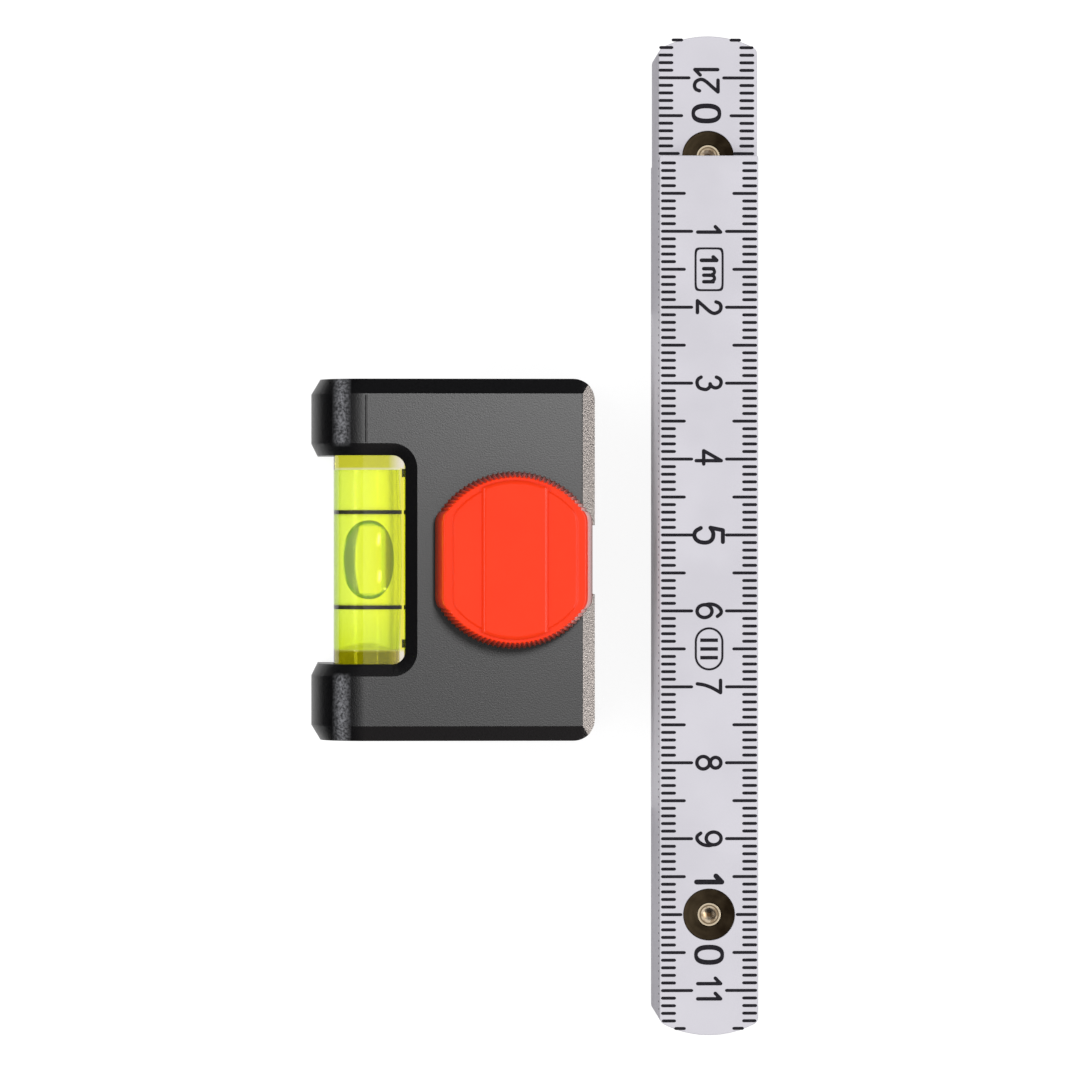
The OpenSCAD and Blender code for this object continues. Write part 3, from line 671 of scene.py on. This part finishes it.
def tickRows(start, end):
    # one row for each millimetre: position, inner end and outer end of its line
    s = np.arange(start, end + 1)
    inner = np.where(s % 10 == 0, scale["cm"], np.where(s % 5 == 0, scale["fiveMm"], scale["mm"]))
    inner = np.where((s == 0) | (s == 100), scale["atJoint"], inner)  # stops short of the washer
    outer = halfWidthAt(np.abs(s - 50.0)) - scale["edge"]
    keep = outer - inner > 0.3
    return np.stack([s, inner, outer], 1)[keep]


def inkPatches(areas, ticks, place, facing, height):
    # Ink plates: the top lies proud of the face, and the walls go down into it.
    # place turns (u, v) into (x, y).
    # Neighbouring strokes differ a little in height, so no two tops share a plane.
    patches = []
    for k, area in enumerate(areas):
        proud = facing * (scale["ink"] + k % 5 * scale["layer"])
        low, high = sorted((height - facing * scale["sunk"], height + proud))
        rings = []
        for way, ring in zip([1] + [-1] * len(area), map(place, area)):
            rings.append(ring[::-1] if signedArea(ring) * way < 0 else ring)
        for ring in rings:
            ahead = np.roll(ring, -1, 0) - np.roll(ring, 1, 0)
            outward = np.stack([ahead[:, 1], -ahead[:, 0]], 1)
            outward /= np.linalg.norm(outward, axis=1, keepdims=True)
            patches.append(strip(ring, outward, [(0, low, 1, 0), (0, high, 1, 0)]))
        patches += [flatFace(rings, high, 1), flatFace(rings, low, -1)]
    s, inner, outer = ticks.T
    half = scale["line"] / 2
    low, high = sorted((height - facing * scale["sunk"], height + facing * scale["ink"]))
    cap = np.radians([0, 60, 120, 180])
    for side in (-1, 1):
        far = [(s + half * math.cos(t), side * (outer - half + half * math.sin(t))) for t in cap]
        near = [(s + half * math.cos(t), side * (inner + half + half * math.sin(t))) for t in cap + math.pi]
        patches += plateBoxes(np.stack([place(np.stack(pair, 1)) for pair in far + near], 1), low, high)
    return patches


def signedArea(ring):
    after = np.roll(ring, -1, 0)
    return (ring[:, 0] * after[:, 1] - after[:, 0] * ring[:, 1]).sum() / 2


def plateBoxes(corners, low, high):
    # many plates of the same number of corners at once: top, foot and walls, all with flat normals
    if signedArea(corners[0]) < 0:
        corners = corners[:, ::-1]
    count, n = corners.shape[:2]
    lower = np.concatenate([corners, np.full((count, n, 1), low)], 2)
    upper = np.concatenate([corners, np.full((count, n, 1), high)], 2)
    after = np.roll(np.arange(n), -1)
    walls = np.stack([lower, lower[:, after], upper[:, after], upper], 2).reshape(-1, 4, 3)
    patches = []
    for faces in (upper, lower[:, ::-1], walls):
        normals = np.cross(faces[:, 1] - faces[:, 0], faces[:, 2] - faces[:, 1])
        normals /= np.linalg.norm(normals, axis=1, keepdims=True)
        size = faces.shape[1]
        numbers = np.arange(len(faces) * size).reshape(-1, size)
        patches.append((faces.reshape(-1, 3), np.repeat(normals, size, 0), numbers))
    return patches


def lengthMark(u):
    # a frame round the nominal length, one metre: the figure, three stems and the arches between them
    marks = [[ellipseRing(0, 0, 2.89, 1.92, 9, 64), ellipseRing(0, 0, 2.62, 1.65, 9, 64)]]
    strokes = [([(-1.18, -1.0), (-1.18, 1.0)], 0.5), ([(-1.18, 1.0), (-1.62, 0.55)], 0.5)]
    strokes += [([(x, -0.7), (x, 0.55)], 0.47) for x in (-0.08, 0.78, 1.64)]
    for x in (-0.08, 0.78):
        strokes.append((smoothCurve([(x, 0.3), (x + 0.2, 0.66), (x + 0.6, 0.66), (x + 0.86, 0.2)]), 0.42))
    return shifted(marks + [[ribbonOutline(line, width)] for line, width in strokes], u)


def classMark(u):
    # an oval round three bars
    turn = np.radians(np.concatenate([np.linspace(-90, 90, 25), np.linspace(90, 270, 25)]))
    stretch = np.repeat([0.95, -0.95], 25)
    oval = [np.stack([stretch + r * np.cos(turn), r * np.sin(turn)], 1) for r in (1.89, 1.62)]
    bar = np.array([(-1, -1), (1, -1), (1, 1), (-1, 1)]) * (0.23, 1.16)
    return shifted([oval] + [[bar + (x, 0)] for x in (-1.14, 0.01, 1.16)], u)


def printFace(i, facing):
    # u runs along the scale from this leg's first joint, v to the digits' tops
    last, side, spacing = rule["legs"], jointSide(i), rule["jointSpacing"]
    # how many legs come before this one on its face (the back counts the other way), and how far
    # the print has slipped
    before, slip = (i - 1, scale["outOfRegister"].get(i, (0, 0))) if facing > 0 else (last - i, (0, 0))
    height = legBase(i) + (rule["thickness"] if facing > 0 else 0)

    def place(ring):
        return np.stack([rule["x"] - side * ring[:, 1], facing * side * (ring[:, 0] - spacing / 2)], 1) + slip

    cutStart, cutEnd = before == 0, before == last - 1  # square ends, without a joint
    ticks = tickRows(1 if cutStart else -15, 99 if cutEnd else 115)
    areas = []
    for s in range(10 if cutStart else -10, 100 if cutEnd else 111, 10):
        number = 10 * before + s // 10
        if number > 0:
            areas += decadeAreas(number, s) if s in (0, 100) else numberAreas(number, s)
    if i == 1 and facing > 0:
        areas += lengthMark(15) + classMark(65)
    name = f"scalePrint{'Front' if facing > 0 else 'Back'}{i}"
    makePiece(name, inkPatches(areas, ticks, place, facing, height), scaleInk, f"rule_leg_{i}")


for i in range(1, rule["legs"] + 1):
    printFace(i, 1)
    printFace(i, -1)
print("scale printed")


# Level body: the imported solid, merged, with its edges softened as a mould leaves them

level = {"x": -10.6, "y": -3.3, "height": 15.0, "edge": 0.14}


# Doubles are merged and flat facets dissolved, then every edge sharper than 24 degrees is bevelled.
bodyMesh = frame["nodes"]["level_body"].data.copy()
levelBody = addObject("levelBody", bodyMesh)
bm = bmesh.new()
bm.from_mesh(bodyMesh)
bmesh.ops.remove_doubles(bm, verts=bm.verts, dist=1e-6)
bmesh.ops.dissolve_limit(bm, angle_limit=math.radians(0.5), verts=bm.verts, edges=bm.edges)
for face in bm.faces:
    face.smooth = True
bm.to_mesh(bodyMesh)
bm.free()
bodyMesh.materials.clear()
bodyMesh.materials.append(bodyPlastic)
bevel = levelBody.modifiers.new("edges", "BEVEL")
bevel.width, bevel.segments, bevel.limit_method = level["edge"] * 0.001, 3, "ANGLE"
bevel.angle_limit, bevel.use_clamp_overlap = math.radians(24), True
weighted = levelBody.modifiers.new("flat faces", "WEIGHTED_NORMAL")
weighted.keep_sharp, weighted.weight = True, 100
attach(levelBody, "level")
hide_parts("level_body")


def prism(section, start, end):
    # a closed section in (x, z), counterclockwise seen from -Y, carried straight from start to end along Y
    section = np.array(section, float)
    after = np.roll(section, -1, 0)
    ahead = after - section
    patches = []
    for a, b, (dx, dz) in zip(section, after, ahead / np.linalg.norm(ahead, axis=1, keepdims=True)):
        quad = np.array([(a[0], start, a[1]), (b[0], start, b[1]), (b[0], end, b[1]), (a[0], end, a[1])])
        patches.append((quad, np.tile((dz, 0.0, -dx), (4, 1)), np.array([(0, 3, 2, 1)])))
    for y, side in ((start, -1), (end, 1)):
        cap = np.column_stack([section[:, 0], np.full(len(section), y), section[:, 1]])
        order = np.arange(len(section)) if side < 0 else np.arange(len(section))[::-1]
        patches.append((cap, np.tile((0.0, side, 0.0), (len(section), 1)), order[None]))
    return patches


def bodyTrim(name, section, start, end):
    makePiece(name, prism(section, start, end), bodyPlastic, "level")


# The mould's parting line on the upper ear: a low ridge, steeper on its outer side.
ridge = {"x": level["x"] - 11.6, "rise": 0.06, "slope": 0.1, "runOut": 0.25, "sunk": 0.05, "start": 12.3,
         "end": 18.6}
top, left, right = level["height"], ridge["x"] - ridge["slope"], ridge["x"] + ridge["runOut"]
bodyTrim("partingStep", [(left, top), (left, top - ridge["sunk"]), (right, top - ridge["sunk"]), (right, top),
                         (ridge["x"], top + ridge["rise"])], ridge["start"], ridge["end"])

# Two snap lugs of the body hold the vial's block down at its inner side.
lug = {"x": -17.4, "reach": 0.34, "width": 1.1, "low": 12.9, "high": 13.4, "offset": 11.35, "shift": 0.2}
for side in (-1, 1):
    start = level["y"] + side * lug["offset"] + lug["shift"] - lug["width"] / 2
    far = lug["x"] + lug["reach"]
    bodyTrim(f"snapLug{'Upper' if side > 0 else 'Lower'}",
             [(lug["x"], lug["low"]), (far, lug["low"]), (far, lug["high"])], start, start + lug["width"])
print("level body made")


# Vial: a clear block, the liquid in its barrel, the bubble

vial = {"x": -21.745, "y": -3.3, "z": 8.5, "width": 9.55, "height": 9.6, "length": 31.0, "edge": 4.5,
        "corner": 0.2, "chamber": 24.0, "radius": 4.35, "barrel": 250.0, "dome": 0.9, "overlap": 0.02,
        "ringGap": 12.7, "ringWidth": 0.52, "ringDepth": 0.1, "ringProud": 0.04, "bubbleWidth": 6.6,
        "bubbleLength": 10.5, "bubblePower": 2.25, "film": 0.08}
alongY = [(1, 0, 0), (0, 0, 1), (0, -1, 0)]  # local z lies along +Y, local y points down


def barrelRadius(y):
    # the barrel's wall: an arc of the large radius, its top at the chamber's own radius
    return np.sqrt(vial["barrel"] ** 2 - y ** 2) - vial["barrel"] + vial["radius"]


def barrelRows(length, grow, rows):
    # rows of the barrel's section, with the arc's own normals
    y = np.linspace(-length / 2, length / 2, rows)
    slope = y / np.sqrt(vial["barrel"] ** 2 - y ** 2)
    steep = np.sqrt(1 + slope ** 2)
    return np.stack([barrelRadius(y) + grow, y, 1 / steep, slope / steep], 1)


def vialOutline():
    # the block's section, seen along the vial: one large outer top corner and three small ones
    w, h, c, e = vial["width"] / 2, vial["height"] / 2, vial["corner"], vial["edge"]
    # local x is across, local y points down
    parts = [arc((w - c, -h + c), c, -90, 0, 4), arc((w - c, h - c), c, 0, 90, 4),
             arc((-w + c, h - c), c, 90, 180, 4), arc((-w + e, -h + e), e, 180, 270, 16)]
    return tuple(np.concatenate([part[k] for part in parts]) for k in (0, 1))


loop, outward = vialOutline()
half, chamberEnd, r = vial["length"] / 2, vial["chamber"] / 2, vial["corner"]
section = np.concatenate([bend(-r, -half + r, r, -90, 0, 4), bend(-r, half - r, r, 0, 90, 4)])
inset = loop - r * outward
centre, spoke = circleLoop(0, 0, 96)
endRadius = float(barrelRadius(chamberEnd))
cavity = barrelRows(vial["chamber"], 0, 25)[::-1]
cavity[:, 2:] *= -1
block = [strip(loop, outward, section), flatFace([inset], half, 1),
         flatFace([inset, centre + endRadius * spoke], -half, -1), strip(centre, spoke, cavity)]
block += facets(centre, spoke, [(0, chamberEnd), (endRadius, chamberEnd)])
block += facets(centre, spoke, [(endRadius, -chamberEnd), (endRadius, -half)])

# The liquid reaches a little into the block's wall, so no film of air shows between them.
rows = barrelRows(vial["chamber"] + 2 * vial["overlap"], vial["overlap"], 25)
liquid = [strip(centre, spoke, rows)]
liquid += facets(centre, spoke, [tuple(rows[-1][:2]), (0, rows[-1][1])])
liquid += facets(centre, spoke, [(0, rows[0][1]), tuple(rows[0][:2])])
# The plug's inner face is a low dome: half a cosine wave.
plugRadius = endRadius + vial["overlap"]
dome = [(plugRadius * t, -chamberEnd + 0.5 * vial["dome"] * (1 + math.cos(math.pi * t)))
        for t in np.linspace(1, 0, 9)]
plug = facets(centre, spoke, [(0, -half), (plugRadius, -half)] + dome)
# Index rings: flat bands let into the barrel's wall, a little proud of it
rings = []
ringRadius = float(barrelRadius(vial["ringGap"] / 2))
for y in (-vial["ringGap"] / 2, vial["ringGap"] / 2):
    near, far = y - vial["ringWidth"] / 2, y + vial["ringWidth"] / 2
    inside, outside = ringRadius - vial["ringProud"], ringRadius + vial["ringDepth"]
    rings += facets(centre, spoke, [(inside, near), (outside, near), (outside, far), (inside, far),
                                    (inside, near)])
vialPlace = (vial["x"], vial["y"], vial["z"])


def vialPiece(name, patches, material, node):
    makePiece(name, turned(patches, alongY, vialPlace), material, "level", [node])


vialPiece("vialBlock", block, clearAcrylic, "vial_block")
vialPiece("indexRings", rings, indexInk, "vial_rings")
vialPiece("vialPlug", plug, clearAcrylic, "vial_plug")
vialPiece("vialLiquid", liquid, dyedSpirit, "vial_liquid")


def bubbleGrid():
    # A flattened drop under the barrel's roof: a superellipse seen from above, its skin a
    # rounded cushion whose top follows the barrel and whose foot sags below it.
    u = np.linspace(0, 1, 61)[:, None]
    v = np.linspace(0, 2 * np.pi, 192, endpoint=False)[None]
    reach, power = np.sin(u * np.pi), 2 / vial["bubblePower"]
    x = vial["bubbleWidth"] / 2 * reach * np.sign(np.cos(v)) * np.abs(np.cos(v)) ** power
    y = vial["bubbleLength"] / 2 * reach * np.sign(np.sin(v)) * np.abs(np.sin(v)) ** power
    roof = np.sqrt(np.maximum((barrelRadius(y) - vial["film"]) ** 2 - x ** 2, 0))
    middle = math.sqrt((vial["radius"] - vial["film"]) ** 2 - (vial["bubbleWidth"] / 2) ** 2)
    half = (roof - middle) / 2
    z = roof - half + half * np.cos(u * np.pi)
    return np.stack([x + 0 * z, y + 0 * z, z], 2)


def eased(value, low, high):
    # 0 below low and 1 above high, with a smooth S between
    t = np.clip((value - low) / (high - low), 0, 1)
    return t * t * (3 - 2 * t)


def bubbleSkins(across, along):
    # Painted refraction and reflection on the skin, for places from -1 to 1 across and along the bubble: a
    # clear middle, a grey-green crescent at the outer side, olive at the inner side, green round the ends,
    # and painted glints that glow.
    power = vial["bubblePower"]
    size = (np.abs(across) ** power + np.abs(along) ** power) ** (1 / power)
    line = -0.54 + 0.23 * along ** 2
    layers = [(eased(across, 0.46, 0.54) * (1 - eased(across, 0.64, 0.70)), "#DCEAA4"),
              (eased(np.abs(along), 0.83, 0.88), "#D2E0B0"),
              (eased(across, 0.62, 0.72), "#AEB020"),
              (eased(across, 0.80, 0.88), "#82840C"),
              (1 - eased(across, line - 0.03, line + 0.03), "#6B89F4"),
              (eased(size, 0.90, 0.94) * (1 - 0.6 * eased(across, 0.3, 0.6)), "#3F8F70"),
              (eased(size, 0.90, 0.96) * eased(np.abs(along), 0.75, 0.92), "#2A8038"),
              (eased(size, 0.93, 0.97) * eased(-across, 0.8, 0.93), "#E6F0FF")]
    colour = np.zeros((len(across), 4)) + linear("#FDFCE6")
    for share, tone in layers:
        colour += share[:, None] * (np.array(linear(tone)) - colour)
    # painted glints: spots of glow on the skin
    glow = np.zeros(len(across))
    for u, v in ((0.40, 0.52), (0.43, -0.42)):
        glow += np.exp(-((across - u - 0.12 * (along - v)) / 0.05) ** 2 - ((along - v) / 0.13) ** 4)
    glow += 0.6 * np.exp(-((across - 0.65) / 0.06) ** 2 - ((along + 0.74) / 0.03) ** 2)
    return colour, glow


bubble = turned([gridPatch(bubbleGrid(), closed=True)], np.eye(3), vialPlace)
bubble = makePiece("vialBubble", bubble, bubbleSkin, "bubble", ["vial_bubble"])
places = np.empty(len(bubble.data.vertices) * 3, np.float32)
bubble.data.vertices.foreach_get("co", places)
places = places.reshape(-1, 3) * 1000 - vialPlace
colour, glow = bubbleSkins(2 * places[:, 0] / vial["bubbleWidth"], 2 * places[:, 1] / vial["bubbleLength"])
glow = glow[:, None] * (1.0, 1.0, 1.2, 0) + (0, 0, 0, 1)
for name, values in (("skinTint", colour), ("glint", glow)):
    layer = bubble.data.attributes.new(name, "FLOAT_COLOR", "POINT")
    layer.data.foreach_set("color", values.astype(np.float32).ravel())
print("vial made")


# Knob: a tapered wall with fine ribs on its round sides, a soft border and a raised band

knob = {"x": -2.6, "y": -3.3, "z": 17.5, "radius": 11.8, "flat": 10.4, "fillet": 2.6, "height": 6.0,
        "taper": 0.9, "arcShare": 0.8, "round": 0.4, "foot": 0.3, "border": 0.75, "step": 0.4, "drop": 0.22,
        "ribs": 34, "ribDepth": 0.28, "bandWidth": 9.0, "bandRise": 0.4, "bandRound": 0.8, "bandGap": 0.5,
        "bandSunk": 1.2, "screwHole": 3.0, "socket": 4.4}


def knobRow(inset, ribShare):
    # a circle cut by two flats, its four corners rounded and all drawn inwards by the inset;
    # the ribs are a cosine wave along the two arcs
    f, radius = knob["fillet"], knob["radius"] - inset * knob["arcShare"]
    x = knob["flat"] - inset - f
    y = math.sqrt((radius - f) ** 2 - x ** 2)
    meet = math.degrees(math.atan2(y, x))
    corner, _ = arc((x, y), f, 0, meet, 6)
    spread, outward = arc((0, 0), radius, meet, 180 - meet, knob["ribs"] * 8)
    wave = 0.5 - 0.5 * np.cos(np.linspace(0, knob["ribs"] * 2 * np.pi, len(spread)))
    spread = spread - (wave * knob["ribDepth"] * ribShare)[:, None] * outward
    last, _ = arc((-x, y), f, 180 - meet, 180, 6)
    half = np.concatenate([corner[:-1], spread, last[1:]])
    return np.concatenate([half, -half])


def atHeight(row, z):
    return np.column_stack([row, np.full(len(row), z)])


h, t, r, foot, drop = (knob[key] for key in ("height", "taper", "round", "foot", "drop"))
turn = np.radians(np.linspace(0, 90, 7))
drawn, lift = 1 - np.cos(turn), np.sin(turn)
insets = np.concatenate([foot * (1 - lift), np.linspace(t * 0.1, t * 0.93, 8), t + r * drawn])
heights = np.concatenate([foot * drawn, np.linspace(0.5, h - drop - r - 0.1, 8), h - drop - r + r * lift])
shares = np.concatenate([lift ** 2, np.ones(8), np.cos(turn) ** 2])
outlines = [knobRow(inset, share) for inset, share in zip(insets, shares)]
shell = [gridPatch(np.stack([atHeight(row, z) for row, z in zip(outlines, heights)]), closed=True)]
# The top: a flat border, then a step whose rise follows half a cosine wave, then the plateau.
inner = insets[-1] + knob["border"]
edge = knobRow(inner, 0)
shell.append(flatFace([outlines[-1], edge], h - drop, 1))
share = np.linspace(0, 1, 9)
rise = [atHeight(knobRow(inner + knob["step"] * t, 0), h - drop + drop * s)
        for t, s in zip(share, 0.5 - 0.5 * np.cos(np.pi * share))]
shell += [gridPatch(np.stack(rise), closed=True), flatFace([rise[-1][:, :2]], h, 1)]
centre, spoke = circleLoop(0, 0, 48)
hole, socket = knob["screwHole"], knob["socket"]
shell.append(flatFace([outlines[0], centre + hole * spoke], 0, -1))
shell += facets(centre, spoke, [(0, socket), (hole, socket), (hole, 0)])


def bandRow(inset):
    # the band's outline, drawn in: two straight sides and two arcs
    half = knob["bandWidth"] / 2 - inset
    radius = knob["radius"] - knob["taper"] * knob["arcShare"] - knob["bandGap"] - inset
    side = math.degrees(math.acos(half / radius))
    return np.concatenate([arc((0, 0), radius, side + k, 180 - side + k, 24)[0] for k in (0, 180)])


# A wide shallow rounding takes the light, and the foot closes down inside the plateau.
b, top, foot = knob["bandRound"], h + knob["bandRise"], h - knob["bandSunk"]
turn = np.linspace(math.asin(1 - knob["bandRise"] / b), math.pi / 2, 9)
rows = [atHeight(bandRow(b * (1 - math.cos(a))), top - b + b * math.sin(a)) for a in turn]
shell += [gridPatch(np.stack([atHeight(rows[0][:, :2], foot), rows[0]]), closed=True),
          gridPatch(np.stack(rows), closed=True), flatFace([rows[-1][:, :2]], top, 1),
          flatFace([rows[0][:, :2]], foot, -1)]
makePiece("clampKnob", turned(shell, np.eye(3), (knob["x"], knob["y"], knob["z"])), knobPlastic, "knob",
          ["clamp_knob"])
print("knob made")


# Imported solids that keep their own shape

finishes = {"threaded_insert": insertBrass, "clamp_screw": screwSteel, "pressure_pad": screwSteel,
            "pad_retaining_ring": springSteel}
finishes.update({f"detent_spring_{i}": springSteel for i in range(1, rule["legs"])})
for node, material in finishes.items():
    solid = frame["nodes"][node]
    for slotIndex in range(len(solid.material_slots)):
        solid.material_slots[slotIndex].material = material
print("packed solids finished")


# Studio: white floor, soft light from both sides, and two lamps for the black body alone

def seenDirectly(tree):
    # 1 for the camera's rays and for mirrored and refracted ones, which see plain white, else 0
    path = addNode(tree, "ShaderNodeLightPath").outputs
    seen = path["Is Camera Ray"]
    for kind in ("Is Glossy Ray", "Is Transmission Ray"):
        seen = addNode(tree, "ShaderNodeMath", {"operation": "MAXIMUM"}, {0: seen, 1: path[kind]}).outputs[0]
    return seen


floorMaterial = bpy.data.materials.new("whitePaperFloor")
floorMaterial.use_nodes = True
tree = floorMaterial.node_tree
tree.nodes.clear()
strength = addNode(tree, "ShaderNodeMath", {"operation": "MULTIPLY", 1: 0.88}, {0: seenDirectly(tree)})
paper = addNode(tree, "ShaderNodeBsdfDiffuse", {"Color": (0.25, 0.25, 0.25, 1)})
glow = addNode(tree, "ShaderNodeEmission", links={"Strength": strength.outputs[0]})
both = addNode(tree, "ShaderNodeAddShader", links={0: paper.outputs[0], 1: glow.outputs[0]})
addNode(tree, "ShaderNodeOutputMaterial", links={"Surface": both.outputs[0]})
floorMesh = bpy.data.meshes.new("floor")
reach, below = 20, -0.0002
corners = [(x * reach, y * reach, below) for x, y in ((-1, -1), (1, -1), (1, 1), (-1, 1))]
floorMesh.from_pydata(corners, [], [(0, 1, 2, 3)])
floorMesh.materials.append(floorMaterial)
addObject("floor", floorMesh)

world = bpy.data.worlds.new("studio")
bpy.context.scene.world = world
world.use_nodes = True
tree = world.node_tree
tree.nodes.clear()
sky = addNode(tree, "ShaderNodeBackground", {"Color": (0.98, 0.99, 1, 1), "Strength": 0.63})
white = addNode(tree, "ShaderNodeBackground", {"Color": (1, 1, 1, 1), "Strength": 1.0})
mix = addNode(tree, "ShaderNodeMixShader",
              links={0: seenDirectly(tree), 1: sky.outputs[0], 2: white.outputs[0]})
addNode(tree, "ShaderNodeOutputWorld", links={"Surface": mix.outputs[0]})


def softLamp(name, place, target, width, height, power):
    data = bpy.data.lights.new(name, "AREA")
    data.shape, data.size, data.size_y, data.energy = "RECTANGLE", width, height, power
    lamp = addObject(name, data)
    lamp.location = place
    lamp.rotation_euler = (Vector(target) - Vector(place)).to_track_quat("-Z", "Y").to_euler()
    lamp.visible_camera = False
    return lamp


# Two long panels, one to each side and beyond the camera: straight above, a flat face mirrors
# only the white room, so dark plastic keeps its own tone.
panel = {"x": 1.8, "z": 1.45, "long": 3.0, "wide": 0.5, "power": 23.0}
panels = []
for name, side in (("panelLeft", -1), ("panelRight", 1)):
    place = (side * panel["x"], 0, panel["z"])
    panels.append(softLamp(name, place, (0, 0, 0), panel["long"], panel["wide"], panel["power"]))


def linkLamp(lamp, state, receivers, blockers):
    # the lamp lights and is blocked by these pieces alone, or by all but these
    for role, pieces in (("receiver", receivers), ("blocker", blockers)):
        group = bpy.data.collections.new(f"{lamp.name}_{role}s")
        for k, piece in enumerate(pieces):
            group.objects.link(bpy.data.objects[piece])
            group.collection_objects[k].light_linking.link_state = state
        if pieces:
            setattr(lamp.light_linking, f"{role}_collection", group)


# Black plastic shows little but its highlights, so the side lamps leave the level's body out and
# two lamps light it alone: one high above its upper right corner grades the plate and leaves the
# bevels dark, and one low at the right, past the rule that would shade it, brightens the bevel there.
bodyPieces = ["levelBody", "partingStep", "snapLugUpper", "snapLugLower"]
for lamp in panels:
    linkLamp(lamp, "EXCLUDE", bodyPieces, [])
plateKey = softLamp("plateKey", (0.055, 0.109, 0.6), (0, 0, 0.015), 0.08, 0.08, 1.5)
linkLamp(plateKey, "INCLUDE", bodyPieces, bodyPieces + ["clampKnob"])
bevelStrip = softLamp("bevelStrip", (1.6, -0.6, 0.0), (0, 0, 0.014), 1.4, 0.5, 160)
bevelStrip.data.color = (1.0, 0.9, 0.83)
linkLamp(bevelStrip, "INCLUDE", bodyPieces, bodyPieces)

# Black cards past both ends and past the left side, seen in reflections alone, keep the bevels
# and the outer side of the level dark. Each lies on the floor and turns up into a wall, and the
# left one leans over the level.
cardMaterial = newMaterial("blackFeltCard", Base_Color=(0, 0, 0, 1), Specular_IOR_Level=0)[0]
cards = {"Back": ((0, 1), 0.6, [(0.030, 0), (0.35, 0), (0.35, 0.55)]),
         "Front": ((0, -1), 0.6, [(0.037, 0), (0.35, 0), (0.35, 0.55)]),
         "Left": ((-1, 0), 0.5, [(0.050, 0), (0.35, 0), (0.35, 0.4), (0.17, 0.6)])}
# each card: its direction, half its width, and its rows of distance and height
for name, ((dx, dy), half, rows) in cards.items():
    corners = [(dx * d - dy * s * half, dy * d + dx * s * half, z) for d, z in rows for s in (-1, 1)]
    cardMesh = bpy.data.meshes.new(f"card{name}")
    cardMesh.from_pydata(corners, [], [(k, k + 1, k + 3, k + 2) for k in range(0, len(corners) - 2, 2)])
    cardMesh.materials.append(cardMaterial)
    card = addObject(f"card{name}", cardMesh)
    card.visible_camera = card.visible_diffuse = card.visible_shadow = card.visible_transmission = False

camera = {"place": (-0.0223, 0.0, 0.730), "aim": (0.0004, 0.0, 0.011), "lens": 181.13}
cameraData = bpy.data.cameras.new("photoCamera")
cameraData.sensor_width, cameraData.lens = 36.0, camera["lens"]
cameraData.clip_start, cameraData.clip_end = 0.01, 100
photoCamera = addObject("photoCamera", cameraData)
look = (Vector(camera["aim"]) - Vector(camera["place"])).normalized()
right = look.cross((0, 1, 0)).normalized()  # the rule runs up the picture
turns = Matrix((right, right.cross(look), -look)).transposed()
photoCamera.matrix_world = Matrix.Translation(camera["place"]) @ turns.to_4x4()
bpy.context.scene.camera = photoCamera
bpy.context.scene.view_settings.view_transform = "Standard"
print("studio lit")
